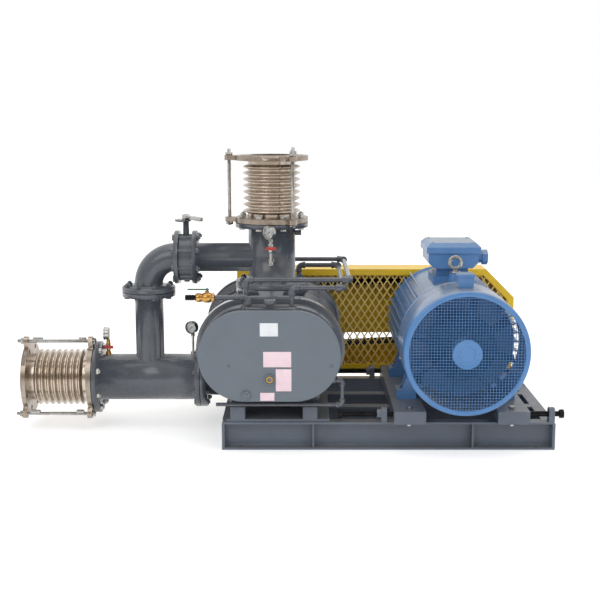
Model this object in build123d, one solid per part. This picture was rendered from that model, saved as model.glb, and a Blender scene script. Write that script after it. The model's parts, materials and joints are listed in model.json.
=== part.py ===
from build123d import *
import os
from math import acos, atan2, cos, degrees, hypot, pi, radians, sin, sqrt

os.makedirs("parts", exist_ok=True)

# Axes: +X to the motor's side, +Y to the drive (belt) side, +Z up; the origin is on the floor
# at the middle of the base frame.

# Clearances
seat_gap = 0.02  # pieces pressed or bolted together, per side
running_gap = 0.05  # shaft in its bearing, radial
body_gap = 0.3  # neighbours that move past each other
rotor_gap = 0.6  # rotor to rotor, to the casing bore and to the end plates

# Base frame of rolled channel
base_length = 1480.0
base_width = 850.0
base_height = 126.0
channel_flange = 53.0
channel_web = 5.5
channel_flange_thickness = 9.0
channel_root_radius = 9.0
base_end_plate = 12.0
front_inner_beam_y = -170.0
rear_inner_beam_y = 60.0
stiffener_thickness = 8.0
stiffener_places = (-334.0, 375.0)
anchor_spacing_x = 1320.0
anchor_edge = 24.0
anchor_hole_radius = 9.0

# Pump
rotor_centre_distance = 216.0
pump_x = -525.0
pump_axis_height = 247.0  # above its feet
pump_to_guard = 100.0
casing_length = 565.0
casing_wall = 27.0
casing_flange_radius = 215.0
casing_flange_thickness = 22.0
rib_radius = 211.0
rib_thickness = 14.0
rib_count = 4
gear_plate_thickness = 45.0
drive_plate_thickness = 40.0
end_plate_radius = 225.0
gear_case_length = 150.0
gear_case_radius = 198.0
gear_case_wall = 14.0
gear_case_rim = 16.0
cover_radius = 201.5
cover_thickness = 20.0
sight_glass_drop = 101.0
oil_drain_drop = 171.0
oil_drain_offset = 102.0
cover_screw_drop = 41.0
cover_screw_left = 177.0
cover_screw_right = 269.0
journal_radius = 40.0
drive_end_radius = 32.0
bearing_radius = 75.0
bearing_width = 30.0
gear_teeth = 24
gear_width = 50.0
bearing_cover_radius = 100.0
bearing_cover_depth = 40.0
sole_plate_thickness = 12.0
sole_left_x = -720.0
sole_right_x = -262.0
foot_height = 55.0
foot_width = 66.0
foot_spread = 321.0
foot_offset_x = 16.5

# Inlet and outlet pipework
port_flange_radius = 170.0
port_flange_thickness = 25.0
port_pipe_radius = 109.5
port_pipe_wall = 6.0
port_bolt_circle = 147.5
port_hole_radius = 11.0
port_hole_count = 8
inlet_face_height = 232.0  # above the rotor axes
gasket_thickness = 3.0
riser_height = 278.0
pipe_flange_thickness = 22.0
bellows_length = 263.0
discharge_bellows_length = 281.0
bellows_tip_radius = 134.0
bellows_root_radius = 110.0
bellows_pitch = 30.0
bellows_count = 8
liner_radius = 100.0
tie_rod_circle = 197.0
tie_rod_radius = 8.0
tie_rod_end = 16.0  # past the fixed flange
tie_rod_free_end = 30.0  # past the sliding flange
tie_rod_nut_height = 13.0
tie_rod_nut_flats = 28.0
ear_root_radius = 150.0
ear_width = 40.0
raised_face_radius = 132.0
raised_face = 2.0
duct_drop = 211.0  # below the rotor axes
duct_radius = 88.0
duct_bore = 74.0
outlet_flange_radius = 142.5
outlet_face_x = -862.0
discharge_pipe_length = 501.0
branch_height = 135.0  # above the inlet face
branch_radius = 66.5
branch_wall = 4.0
branch_flange_radius = 125.0
branch_flange_thickness = 20.0
elbow_radius = 130.0
elbow_tail = 9.0
valve_x = -927.0
valve_width = 56.0
valve_body_radius = 104.0
valve_neck_radius = 14.0
valve_neck_height = 178.0
valve_plate_radius = 52.0
valve_plate_thickness = 8.0
valve_stem_radius = 9.0
valve_opening_at_rest = 30.0
valve_lever_length = 165.0

# Small water pipework
water_pipe_radius = 10.65
low_pipe_height = 286.0  # pipe heights are above the rotor axes
high_pipe_height = 316.0
gear_case_tap_inset = 75.0
high_tap_step = 31.0
low_run_x = -204.0
high_run_x = -176.0
tap_boss_radius = 15.0
tap_boss_height = 3.0
drain_pipe_radius = 8.5
drain_pipe_drop = 226.0
drain_tap_drop = 114.0
drain_tap_x = -238.0
drain_left_x = -762.0
water_valve_x = -894.0
water_valve_length = 128.0
water_pipe_height = 243.0
water_ball_radius = 15.0
water_bore_radius = 8.0
water_stem_radius = 4.5
gauge_radius = 30.0
gauge_depth = 26.0
gauge_stem_radius = 6.0
gauge_rim = 3.0
gauge_recess = 10.0
riser_gauge_offset = 96.0
discharge_gauge_x = -1308.0
outlet_gauge_x = -904.0
cock_stem_radius = 3.0

# Motor
motor_x = 320.0
motor_foot_spread = 457.0
motor_foot_pitch = 419.0
motor_foot_length = 90.0
motor_foot_thickness = 30.0
motor_shoulder_to_hole = 190.0
motor_shoulder_to_guard = 17.0
motor_body_length = 970.0
motor_axis_height = 280.0
motor_shell_radius = 238.0
motor_shell_wall = 18.0
motor_boss_length = 28.0
cowl_overlap = 10.0
core_end_gap = 100.0
motor_core_length = 480.0
terminal_to_shoulder = 358.0
terminal_width = 232.0
terminal_length = 240.0
terminal_height = 71.0
terminal_chamfer = 26.0
terminal_lid_overhang = 10.0
terminal_lid_height = 48.0
terminal_lid_bevel = 20.0
terminal_neck_width = 150.0
terminal_neck_length = 160.0
terminal_neck_rise = 261.0
terminal_neck_height = 38.0
gland_radius = 27.0
gland_bore = 16.0
eye_to_shoulder = 533.0
eye_boss_top = 286.0
eye_rise = 48.0
aux_box_width = 64.0
aux_box_length = 70.0
aux_box_inset = 127.0
fin_radius = 268.0
fin_thickness = 5.0
fin_step = 9
cowl_radius = 273.0
cowl_wall = 3.0
cowl_length = 274.0
grille_radius = 252.0
grille_pitch = 25.6
grille_bar = 3.0
grille_boss_radius = 64.0
motor_shaft_radius = 37.5
motor_shaft_length = 140.0
motor_bearing_wall = 30.0
motor_core_radius = 140.0
air_gap = 1.0
fan_blades = 8
rail_width = 140.0
rail_height = 58.0
rail_wall = 6.0
rail_overhang = 35.0
foot_bolt_radius = 12.0
clamp_bolt_radius = 8.0
slide_in = 20.0
slide_out = 30.0
jack_radius = 12.0
jack_axis_height = 33.0
jack_bracket_thickness = 25.0
jack_bracket_width = 44.0
jack_bracket_height = 62.0
jack_left_gap = 42.0
jack_right_gap = 105.0
jack_left_tail = 190.0
jack_right_tail = 42.0
jack_nut_flats = 36.0
jack_nut_height = 18.0

# Belt drive and guard
pump_pulley_radius = 172.5
motor_pulley_radius = 157.5
groove_pitch = 25.5
belt_count = 4
belt_top_width = 22.0
belt_bottom_width = 13.0
belt_height = 14.0
belt_side_gap = 0.4
guard_depth = 160.0
guard_left_x = -715.0
guard_right_x = 705.0
guard_clearance = 35.0  # above the base
guard_height = 526.0
guard_chamfer = 146.0
guard_sheet = 3.0
guard_band = 32.0
guard_leg_width = 40.0
guard_foot_length = 50.0
guard_foot_thickness = 8.0
guard_middle_leg_x = -330.0
guard_slot_left_x = -160.0
guard_slot_right_x = 125.0
guard_slot_height = 49.0
guard_slot_rise = 116.0
mesh_strand = 6.0
mesh_wide = 38.0
mesh_high = 59.0

# Worked out from the sizes above
beam_edge_y = base_width / 2
guard_front_y = beam_edge_y
guard_bottom_z = base_height + guard_clearance
guard_top_z = guard_bottom_z + guard_height
guard_back_y = guard_front_y + guard_depth
pulley_middle_y = guard_front_y + guard_depth / 2
casing_back_y = guard_front_y - pump_to_guard - drive_plate_thickness
casing_front_y = casing_back_y - casing_length
port_y = casing_front_y + casing_length / 2
drive_x = pump_x + rotor_centre_distance / 2
driven_x = pump_x - rotor_centre_distance / 2
pitch_radius = rotor_centre_distance / 2
rotor_tip = 1.5 * pitch_radius
chamber_radius = rotor_tip + rotor_gap
casing_radius = chamber_radius + casing_wall
gear_plate_front_y = casing_front_y - gear_plate_thickness
gear_case_front_y = gear_plate_front_y - gear_case_length
drive_plate_back_y = casing_back_y + drive_plate_thickness
sole_top_z = base_height + sole_plate_thickness
foot_top_z = sole_top_z + foot_height
pump_axis_z = foot_top_z + pump_axis_height
inlet_face_z = pump_axis_z + inlet_face_height
duct_axis_z = pump_axis_z - duct_drop
branch_axis_z = inlet_face_z + branch_height
valve_neck_top_z = branch_axis_z + valve_neck_height
rail_top_z = base_height + rail_height
motor_z = rail_top_z + motor_axis_height
riser_base_z = inlet_face_z + gasket_thickness
riser_top_z = riser_base_z + riser_height + port_flange_thickness - 5
inlet_bellows_z = riser_top_z + gasket_thickness + pipe_flange_thickness
inlet_top_z = inlet_bellows_z + bellows_length + pipe_flange_thickness
pipe_right_x = outlet_face_x - gasket_thickness
pipe_left_x = pipe_right_x - discharge_pipe_length
outlet_bellows_x = pipe_left_x - gasket_thickness - pipe_flange_thickness
outlet_end_x = outlet_bellows_x - discharge_bellows_length - pipe_flange_thickness
valve_flange_gap = valve_width / 2 + gasket_thickness
elbow_start_x = valve_x - valve_flange_gap - branch_flange_thickness
branch_x = elbow_start_x - elbow_radius
elbow_end_z = branch_axis_z - elbow_radius - elbow_tail
branch_top_z = elbow_end_z - branch_flange_thickness - gasket_thickness
low_pipe_z = pump_axis_z + low_pipe_height
high_pipe_z = pump_axis_z + high_pipe_height
water_pipe_z = pump_axis_z + water_pipe_height
drain_pipe_z = pump_axis_z - drain_pipe_drop
drain_tap_z = pump_axis_z - drain_tap_drop
gear_case_tap_y = gear_case_front_y + gear_case_tap_inset
gear_case_tap_z = pump_axis_z + gear_case_radius + tap_boss_height
plate_tap_z = pump_axis_z + end_plate_radius + tap_boss_height
plate_tap_y = casing_back_y + drive_plate_thickness / 2
feed_tap_x = driven_x + 13
high_tap_x = driven_x + 2
high_tap_y = gear_case_tap_y + high_tap_step
low_tap_x = drive_x - 12
low_end_x = drive_x + 18
high_end_x = driven_x + 60
drain_y = gear_case_front_y + 30
water_ball_x = water_valve_x + 96
riser_cock_z = branch_axis_z + 68
discharge_cock_z = duct_axis_z + 148
clamp_bolt_y = beam_edge_y - anchor_edge
rail_front_y = -beam_edge_y - rail_overhang
rail_length = base_width + rail_overhang
motor_shoulder_y = guard_front_y - motor_shoulder_to_guard
motor_back_y = motor_shoulder_y - motor_boss_length
foot_hole_y = motor_shoulder_y - motor_shoulder_to_hole
cowl_front_y = motor_shoulder_y - motor_body_length
motor_front_y = cowl_front_y + cowl_length - cowl_overlap
core_back_y = motor_back_y - core_end_gap
core_front_y = core_back_y - motor_core_length
terminal_y = motor_shoulder_y - terminal_to_shoulder
lifting_eye_y = motor_shoulder_y - eye_to_shoulder
rail_places = (motor_x - motor_foot_spread / 2, motor_x + motor_foot_spread / 2)


def rod(radius, start, end):
    """Round bar from start to end."""
    start = Vector(start)
    end = Vector(end)
    plane = Plane(origin=start, z_dir=end - start)
    return plane * Cylinder(radius, (end - start).length, align=(Align.CENTER, Align.CENTER, Align.MIN))


def ring(outer, inner, start, end):
    """Round tube from start to end."""
    return rod(outer, start, end) - rod(inner, start, end)


def block(x0, x1, y0, y1, z0, z1):
    """Rectangular block between two opposite corners."""
    return Pos(x0, y0, z0) * Box(x1 - x0, y1 - y0, z1 - z0, align=(Align.MIN, Align.MIN, Align.MIN))


def prism_xz(points, y0, y1):
    """Extrudes an outline given in X and Z from y0 to y1."""
    outline = make_face(Plane.XZ * Polyline(*points, close=True))
    return Pos(0, y0, 0) * extrude(outline, amount=y1 - y0, dir=(0, 1, 0))


def hexagon(across_flats, start, end):
    """Hexagonal bar for nuts and bolt heads."""
    start = Vector(start)
    end = Vector(end)
    plane = Plane(origin=start, z_dir=end - start)
    return extrude(plane * RegularPolygon(across_flats / 2, 6, major_radius=False), (end - start).length)


def stadium(radius, y0, y1):
    """Solid with two half-round ends about the two rotor axes."""
    outline = Plane.XZ * SlotCenterToCenter(rotor_centre_distance, 2 * radius)
    return Pos(pump_x, y0, pump_axis_z) * extrude(outline, amount=y1 - y0, dir=(0, 1, 0))


def both_axes(shape_at):
    """Joins the shape that is made for each of the two rotor axes."""
    return shape_at(drive_x) + shape_at(driven_x)


def revolve_about(points, origin, direction):
    """Turns a radius and length outline about the axis through origin."""
    plane = Plane(origin=origin, z_dir=direction)
    profile = make_face(Plane.XZ * Polyline(*points, close=True))
    return plane * revolve(profile, Axis.Z)


def elbowed_pipe(radius, points):
    """Pipe of straight runs that meet in mitred elbows."""
    line = Polyline(*points)
    section = Plane(origin=line @ 0, z_dir=line % 0) * Circle(radius)
    return sweep(section, line, transition=Transition.RIGHT)


# ---------------------------------------------------------------- base


def channel_beam(length):
    """Rolled channel along X with its open side to -Y."""
    back = channel_flange - channel_web
    top = base_height - channel_flange_thickness
    points = [
        (0, 0),
        (channel_flange, 0),
        (channel_flange, base_height),
        (0, base_height),
        (0, top),
        (back, top),
        (back, channel_flange_thickness),
        (0, channel_flange_thickness),
    ]
    section = make_face(Polyline(*points, close=True))
    roots = [v for v in section.vertices() if abs(v.X - back) < 0.01]
    section = chamfer(roots, channel_root_radius * 0.6)
    return extrude(Plane.YZ * section, length)


def long_beam():
    """Front beam with end plates, stiffeners, anchor holes and rail slots."""
    inner_length = base_length - 2 * base_end_plate
    beam = Pos(-inner_length / 2, -beam_edge_y, 0) * channel_beam(inner_length)
    y0 = -beam_edge_y
    y1 = y0 + channel_flange
    for side in (-1, 1):
        outer = side * base_length / 2
        inner = side * inner_length / 2
        plate = block(min(outer, inner), max(outer, inner), y0, y1, 0, base_height)
        corner = plate.edges().filter_by(Axis.Y).group_by(Axis.Z)[-1].sort_by(Axis.X)
        beam += chamfer(corner[0 if side < 0 else -1], base_end_plate * 0.6)
    for x in stiffener_places:
        beam += block(x - stiffener_thickness / 2, x + stiffener_thickness / 2, y0 + 4, y1 - channel_web / 2,
                      channel_flange_thickness / 2, base_height - channel_flange_thickness / 2)
    for side in (-1, 1):
        beam -= rod(anchor_hole_radius, (side * anchor_spacing_x / 2, y0 + anchor_edge, -1),
                    (side * anchor_spacing_x / 2, y0 + anchor_edge, channel_flange_thickness + 1))
    for x in rail_places:
        length = slide_in + slide_out + 2 * clamp_bolt_radius + 4
        slot = Plane.XY * SlotOverall(length, 2 * clamp_bolt_radius + 2)
        middle = x + (slide_out - slide_in) / 2
        beam -= Pos(middle, y0 + anchor_edge, base_height - 20) * extrude(slot, 30)
    return beam


def base_channels():
    front = long_beam()
    rear = mirror(front, Plane.XZ)
    inner_x = base_length / 2 - channel_flange
    inner_reach = inner_x + channel_flange - channel_web
    inner = Pos(-inner_reach, 0, 0) * channel_beam(2 * inner_reach)
    keep = block(-inner_x, inner_x, -base_width, base_width, -1, base_height + 1)
    end_length = base_width - 2 * channel_flange
    end = Pos(base_length / 2, -end_length / 2, 0) * Rot(0, 0, 90) * channel_beam(end_length)
    beams = [front, rear, end, mirror(end, Plane.YZ)]
    for y in (front_inner_beam_y, rear_inner_beam_y):
        beams.append((Pos(0, y, 0) * inner) & keep)
    return beams


def pump_sole_plate():
    feet_x = [pump_x + foot_offset_x + side * foot_spread / 2 for side in (-1, 1)]
    plate = block(sole_left_x, sole_right_x, -beam_edge_y + 10, beam_edge_y - channel_flange - 2, base_height, sole_top_z)
    for x in feet_x:
        for y0, y1 in ((-beam_edge_y + 10, casing_front_y + 20), (casing_back_y - 30, beam_edge_y - channel_flange - 4)):
            foot = block(x - foot_width / 2, x + foot_width / 2, y0, y1, sole_top_z, foot_top_z)
            plate += fillet(foot.edges().filter_by(Axis.Z), 5)
    return plate


# ---------------------------------------------------------------- pump


def pump_casing():
    body = stadium(casing_radius, casing_front_y, casing_back_y)
    body += stadium(casing_flange_radius, casing_front_y, casing_front_y + casing_flange_thickness)
    body += stadium(casing_flange_radius, casing_back_y - casing_flange_thickness, casing_back_y)
    for i in range(rib_count):
        y = casing_front_y + casing_length * (i + 1) / (rib_count + 1)
        body += stadium(rib_radius, y - rib_thickness / 2, y + rib_thickness / 2)
    neck_radius = port_pipe_radius + 16
    body += rod(neck_radius, (pump_x, port_y, pump_axis_z + 120), (pump_x, port_y, inlet_face_z))
    body += rod(port_flange_radius, (pump_x, port_y, inlet_face_z - port_flange_thickness),
                (pump_x, port_y, inlet_face_z))
    body += rod(duct_radius, (outlet_face_x, port_y, duct_axis_z), (pump_x + 95, port_y, duct_axis_z))
    body += rod(outlet_flange_radius, (outlet_face_x, port_y, duct_axis_z),
                (outlet_face_x + pipe_flange_thickness + 6, port_y, duct_axis_z))
    body -= both_axes(lambda x: rod(chamber_radius, (x, casing_front_y - 1, pump_axis_z),
                                    (x, casing_back_y + 1, pump_axis_z)))
    body -= rod(liner_radius, (pump_x, port_y, pump_axis_z + 60), (pump_x, port_y, inlet_face_z + 1))
    body -= rod(duct_bore - 4, (pump_x, port_y, duct_axis_z), (pump_x, port_y, pump_axis_z - 60))
    body -= rod(duct_bore, (outlet_face_x - 1, port_y, duct_axis_z), (pump_x + 80, port_y, duct_axis_z))
    return body


def end_plate(y0, y1, pocket_y0, pocket_y1):
    """Bearing housing plate with feet and two bearing pockets."""
    plate = stadium(end_plate_radius, y0, y1)
    for side in (-1, 1):
        x = pump_x + foot_offset_x + side * foot_spread / 2
        leg = block(x - 42, x + 42, y0, y1, foot_top_z, pump_axis_z - 120)
        plate += leg
    plate -= both_axes(lambda x: rod(journal_radius + 0.5, (x, y0 - 1, pump_axis_z), (x, y1 + 1, pump_axis_z)))
    plate -= both_axes(lambda x: rod(bearing_radius + seat_gap, (x, pocket_y0, pump_axis_z),
                                     (x, pocket_y1, pump_axis_z)))
    return plate


def gear_end_plate():
    front = gear_plate_front_y
    return end_plate(front, casing_front_y, front - 1, front + bearing_width)


def drive_end_plate():
    back = drive_plate_back_y
    plate = end_plate(casing_back_y, back, back - bearing_width, back + 1)
    for x in (low_end_x, high_end_x):
        plate += rod(tap_boss_radius, (x, plate_tap_y, pump_axis_z + end_plate_radius - 8), (x, plate_tap_y, plate_tap_z))
    return plate


def rotor_bearings():
    rings = []
    for x in (drive_x, driven_x):
        for y0 in (gear_plate_front_y, drive_plate_back_y - bearing_width):
            rings.append(ring(bearing_radius, journal_radius + running_gap, (x, y0, pump_axis_z),
                              (x, y0 + bearing_width, pump_axis_z)))
    return rings


def gear_case():
    case = stadium(gear_case_radius, gear_case_front_y, gear_plate_front_y)
    for y in (gear_case_front_y, gear_plate_front_y - gear_case_rim):
        case += stadium(gear_case_radius + 3, y, y + gear_case_rim)
    for x, y in ((feed_tap_x, gear_case_tap_y), (low_tap_x, gear_case_tap_y), (high_tap_x, high_tap_y)):
        case += rod(tap_boss_radius, (x, y, pump_axis_z + gear_case_radius - 6), (x, y, gear_case_tap_z))
    case += rod(tap_boss_radius, (drive_x + 60, drain_y, drain_tap_z), (drain_tap_x, drain_y, drain_tap_z))
    return case - stadium(gear_case_radius - gear_case_wall, gear_case_front_y - 1, gear_plate_front_y + 1)


def gear_case_cover():
    front = gear_case_front_y - cover_thickness
    cover = stadium(cover_radius, front, gear_case_front_y)
    return fillet(cover.edges().group_by(Axis.Y)[0], 5)


def oil_fittings():
    """Sight glass, drain plug, breather and two cover screws."""
    face = gear_case_front_y - cover_thickness
    outline = [(0, 0), (24, 0), (24, 10), (18, 14), (18, 8), (0, 8)]
    sight = revolve_about(outline, (pump_x, face, pump_axis_z - sight_glass_drop), (0, -1, 0))
    drain_x = pump_x - oil_drain_offset
    oil_drain_z = pump_axis_z - oil_drain_drop
    drain = hexagon(36, (drain_x, face, oil_drain_z), (drain_x, face - 5, oil_drain_z))
    outline = [(0, 0), (16, 0), (16, 12), (26, 14), (26, 34), (20, 40), (0, 40)]
    breather = revolve_about(outline, (pump_x, gear_case_tap_y - 30, pump_axis_z + gear_case_radius), (0, 0, 1))
    screw_z = pump_axis_z - cover_screw_drop
    left_x = pump_x - cover_screw_left
    right_x = pump_x + cover_screw_right
    screws = [rod(6, (x, face, screw_z), (x, face - 3, screw_z)) for x in (left_x, right_x)]
    return [sight, drain, breather] + screws


def bearing_covers():
    covers = []
    for x, bore in ((drive_x, drive_end_radius + 1), (driven_x, 0)):
        outline = [
            (bore, bearing_cover_depth),
            (72, bearing_cover_depth),
            (80, bearing_cover_depth - 8),
            (84, 14),
            (bearing_cover_radius, 12),
            (bearing_cover_radius, 0),
            (58, 0),
            (58, 24),
            (bore, 24),
        ]
        covers.append(revolve_about(outline, (x, drive_plate_back_y, pump_axis_z), (0, 1, 0)))
    return covers


def lobe_points(turn, steps=12):
    """Quarter lobe and quarter valley points: outward lobes roll on the pitch circle, valleys in it."""
    rolling = pitch_radius / 4
    squeeze = rotor_gap / pitch_radius / (pi / 4)
    lobe = []
    valley = []
    for i in range(steps + 1):
        t = pi / 2 * i / steps
        x = (pitch_radius + rolling) * cos(t) - rolling * cos(5 * t)
        y = (pitch_radius + rolling) * sin(t) - rolling * sin(5 * t)
        angle = (atan2(y, x) - pi / 4) * (1 - squeeze)
        reach = hypot(x, y) - rotor_gap
        lobe.append((reach * cos(turn + angle), reach * sin(turn + angle)))
        x = (pitch_radius - rolling) * cos(t) + rolling * cos(3 * t)
        y = (pitch_radius - rolling) * sin(t) - rolling * sin(3 * t)
        angle = (atan2(y, x) - pi / 4) * (1 + squeeze)
        reach = hypot(x, y) - rotor_gap
        valley.append((reach * cos(turn + pi / 2 + angle), reach * sin(turn + pi / 2 + angle)))
    return lobe, valley


def rotor(x, turn, shaft_end_y):
    """Two-lobe rotor with its shaft; turn is the direction of one lobe."""
    edges = []
    for half in (0, pi):
        lobe, valley = lobe_points(turn + half)
        edges.append(Spline(*lobe))
        edges.append(Spline(*valley))
    outline = make_face(Plane.XZ * Wire(edges))
    y0 = casing_front_y + rotor_gap
    y1 = casing_back_y - rotor_gap
    body = Pos(x, y0, pump_axis_z) * extrude(outline, amount=y1 - y0, dir=(0, 1, 0))
    gear_front = gear_plate_front_y - gear_width - 25
    body += rod(journal_radius, (x, gear_front, pump_axis_z), (x, drive_plate_back_y + 12, pump_axis_z))
    if shaft_end_y > drive_plate_back_y + 12:
        body += rod(drive_end_radius, (x, drive_plate_back_y + 12, pump_axis_z), (x, shaft_end_y, pump_axis_z))
    return body


def timing_gear(x, first_tooth):
    """Spur timing gear with flanks that lie on the involute at root, pitch and tip."""
    module = rotor_centre_distance / gear_teeth
    base_radius = pitch_radius * cos(radians(20))
    half_tooth = pi / (2 * gear_teeth) - 0.35 / pitch_radius
    pitch_roll = sqrt((pitch_radius / base_radius) ** 2 - 1) - radians(20)

    def flank(radius):
        if radius < base_radius:
            return half_tooth + pitch_roll
        pressure = acos(base_radius / radius)
        return half_tooth + pitch_roll - (sqrt((radius / base_radius) ** 2 - 1) - pressure)

    radii = (pitch_radius - 1.2 * module, pitch_radius, pitch_radius + 0.9 * module)
    points = []
    for tooth in range(gear_teeth):
        middle = first_tooth + 2 * pi * tooth / gear_teeth
        sides = [(r, middle - flank(r)) for r in radii] + [(r, middle + flank(r)) for r in reversed(radii)]
        points += [(r * cos(a), r * sin(a)) for r, a in sides]
    y1 = gear_plate_front_y - 20
    y0 = y1 - gear_width
    gear = Pos(x, 0, pump_axis_z) * prism_xz(points, y0, y1)
    gear += rod(journal_radius + 18, (x, y1, pump_axis_z), (x, y1 + 12, pump_axis_z))
    return gear - rod(journal_radius + 3 * seat_gap, (x, y0 - 1, pump_axis_z), (x, y1 + 20, pump_axis_z))


# ---------------------------------------------------------------- belt drive


def grooved_pulley(x, z, radius, bore):
    """V-belt pulley with a rim, web and hub."""
    width = belt_count * groove_pitch + 4
    rim_inner = radius - belt_height - 22
    hub = bore + 24
    outline = [(bore, 0), (hub, 0), (hub, width / 2 - 10), (rim_inner, width / 2 - 10), (rim_inner, 0), (radius, 0)]
    depth = belt_height + 2
    slope = (belt_top_width - belt_bottom_width) / 2 / belt_height
    for i in range(belt_count):
        middle = width / 2 + (i - (belt_count - 1) / 2) * groove_pitch
        top = belt_top_width / 2 + belt_side_gap
        bottom = top - depth * slope
        outline += [(radius, middle - top), (radius - depth, middle - bottom)]
        outline += [(radius - depth, middle + bottom), (radius, middle + top)]
    outline += [(radius, width), (rim_inner, width), (rim_inner, width / 2 + 10), (hub, width / 2 + 10)]
    outline += [(hub, width), (bore, width)]
    return revolve_about(outline, (x, pulley_middle_y - width / 2, z), (0, 1, 0))


def belt_loop(y):
    """One V-belt: a tapered section carried round both pulleys."""
    reach1 = pump_pulley_radius - belt_height / 2
    reach2 = motor_pulley_radius - belt_height / 2
    dx = motor_x - drive_x
    dz = motor_z - pump_axis_z
    lean = atan2(dz, dx)
    wrap = acos((reach1 - reach2) / hypot(dx, dz))

    def at(centre_x, centre_z, reach, angle):
        return (centre_x + reach * cos(angle), y, centre_z + reach * sin(angle))

    top1 = at(drive_x, pump_axis_z, reach1, lean + wrap)
    top2 = at(motor_x, motor_z, reach2, lean + wrap)
    low1 = at(drive_x, pump_axis_z, reach1, lean - wrap)
    low2 = at(motor_x, motor_z, reach2, lean - wrap)
    path = Wire([
        Edge.make_line(top1, top2),
        Edge.make_three_point_arc(top2, at(motor_x, motor_z, reach2, lean), low2),
        Edge.make_line(low2, low1),
        Edge.make_three_point_arc(low1, at(drive_x, pump_axis_z, reach1, lean + pi), top1),
    ])
    outward = Vector(cos(lean + wrap), 0, sin(lean + wrap))
    plane = Plane(origin=top1, x_dir=(0, 1, 0), z_dir=Vector(top2) - Vector(top1))
    sign = 1 if plane.y_dir.dot(outward) > 0 else -1
    half = belt_height / 2
    section = [
        (-belt_top_width / 2, sign * half),
        (belt_top_width / 2, sign * half),
        (belt_bottom_width / 2, -sign * half),
        (-belt_bottom_width / 2, -sign * half),
    ]
    return sweep(plane * make_face(Polyline(*section, close=True)), path)


def v_belts():
    return [belt_loop(pulley_middle_y + (i - (belt_count - 1) / 2) * groove_pitch) for i in range(belt_count)]


def guard_outline(inset):
    """Guard's outline from the side: a rectangle with one corner cut off, drawn in by inset."""
    cut = guard_chamfer - inset * (2 - sqrt(2))
    x0 = guard_left_x + inset
    x1 = guard_right_x - inset
    z0 = guard_bottom_z + inset
    z1 = guard_top_z - inset
    return [(x0, z0), (x1, z0), (x1, z1 - cut), (x1 - cut, z1), (x0, z1)]


def guard_frame():
    frame = prism_xz(guard_outline(0), guard_front_y, guard_back_y)
    frame -= prism_xz(guard_outline(guard_sheet), guard_front_y + guard_sheet, guard_back_y + 1)
    frame -= prism_xz(guard_outline(guard_band), guard_front_y - 1, guard_back_y)
    leg_top = guard_bottom_z + guard_band
    for x in (guard_left_x + 60, guard_middle_leg_x, guard_right_x - guard_leg_width - 10):
        end = x + guard_leg_width
        frame += block(x, end, guard_front_y - guard_foot_thickness, guard_front_y, base_height, leg_top)
        frame += block(x, end, guard_front_y - guard_foot_length, guard_front_y, base_height,
                       base_height + guard_foot_thickness)
    return frame


def guard_mesh():
    """Expanded mesh as two crossing layers of strands, open round both shafts."""
    y0 = guard_front_y + guard_sheet
    lean = atan2(mesh_high, mesh_wide)
    strands = []
    for layer, side in ((0, 1), (1, -1)):
        low = y0 + layer * guard_sheet
        panel = prism_xz(guard_outline(guard_sheet + 4), low, low + guard_sheet)
        panel -= rod(bearing_cover_radius + 12, (drive_x, low - 1, pump_axis_z), (drive_x, low + 9, pump_axis_z))
        panel -= rod(motor_shaft_radius + 40, (motor_x, low - 1, motor_z), (motor_x, low + 9, motor_z))
        middle_z = (guard_bottom_z + guard_top_z) / 2
        x = guard_left_x - 200
        while x < guard_right_x + 200:
            bar = Pos(x, low + guard_sheet / 2, middle_z) * Rot(0, -side * degrees(lean), 0) * Box(
                1.4 * (guard_top_z - guard_bottom_z), guard_sheet, mesh_strand)
            strands += (bar & panel).solids()
            x += mesh_wide
    return strands


def guard_back():
    sheet = prism_xz(guard_outline(guard_sheet + body_gap), guard_back_y - guard_sheet, guard_back_y)
    slot_z = guard_bottom_z + guard_slot_rise
    return sheet - block(guard_slot_left_x, guard_slot_right_x, guard_back_y - 10, guard_back_y + 10,
                         slot_z, slot_z + guard_slot_height)


# ---------------------------------------------------------------- motor


def motor_foot(side, y):
    """One cast foot with a pocket round its bolt."""
    foot_x = motor_x + side * motor_foot_spread / 2
    outline = [
        (foot_x + side * 42, rail_top_z),
        (foot_x + side * 42, rail_top_z + 42),
        (foot_x + side * 14, rail_top_z + 48),
        (motor_x + side * 205, motor_z - 110),
        (motor_x + side * 110, motor_z - 205),
        (foot_x - side * 44, rail_top_z + 36),
        (foot_x - side * 50, rail_top_z),
    ]
    foot = prism_xz(outline, y - motor_foot_length / 2, y + motor_foot_length / 2)
    foot -= block(foot_x - 24, foot_x + 24, y - 24, y + 24, rail_top_z + motor_foot_thickness, motor_z - 160)
    return foot - rod(foot_bolt_radius + 1, (foot_x, y, rail_top_z - 1), (foot_x, y, motor_z - 180))


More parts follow.
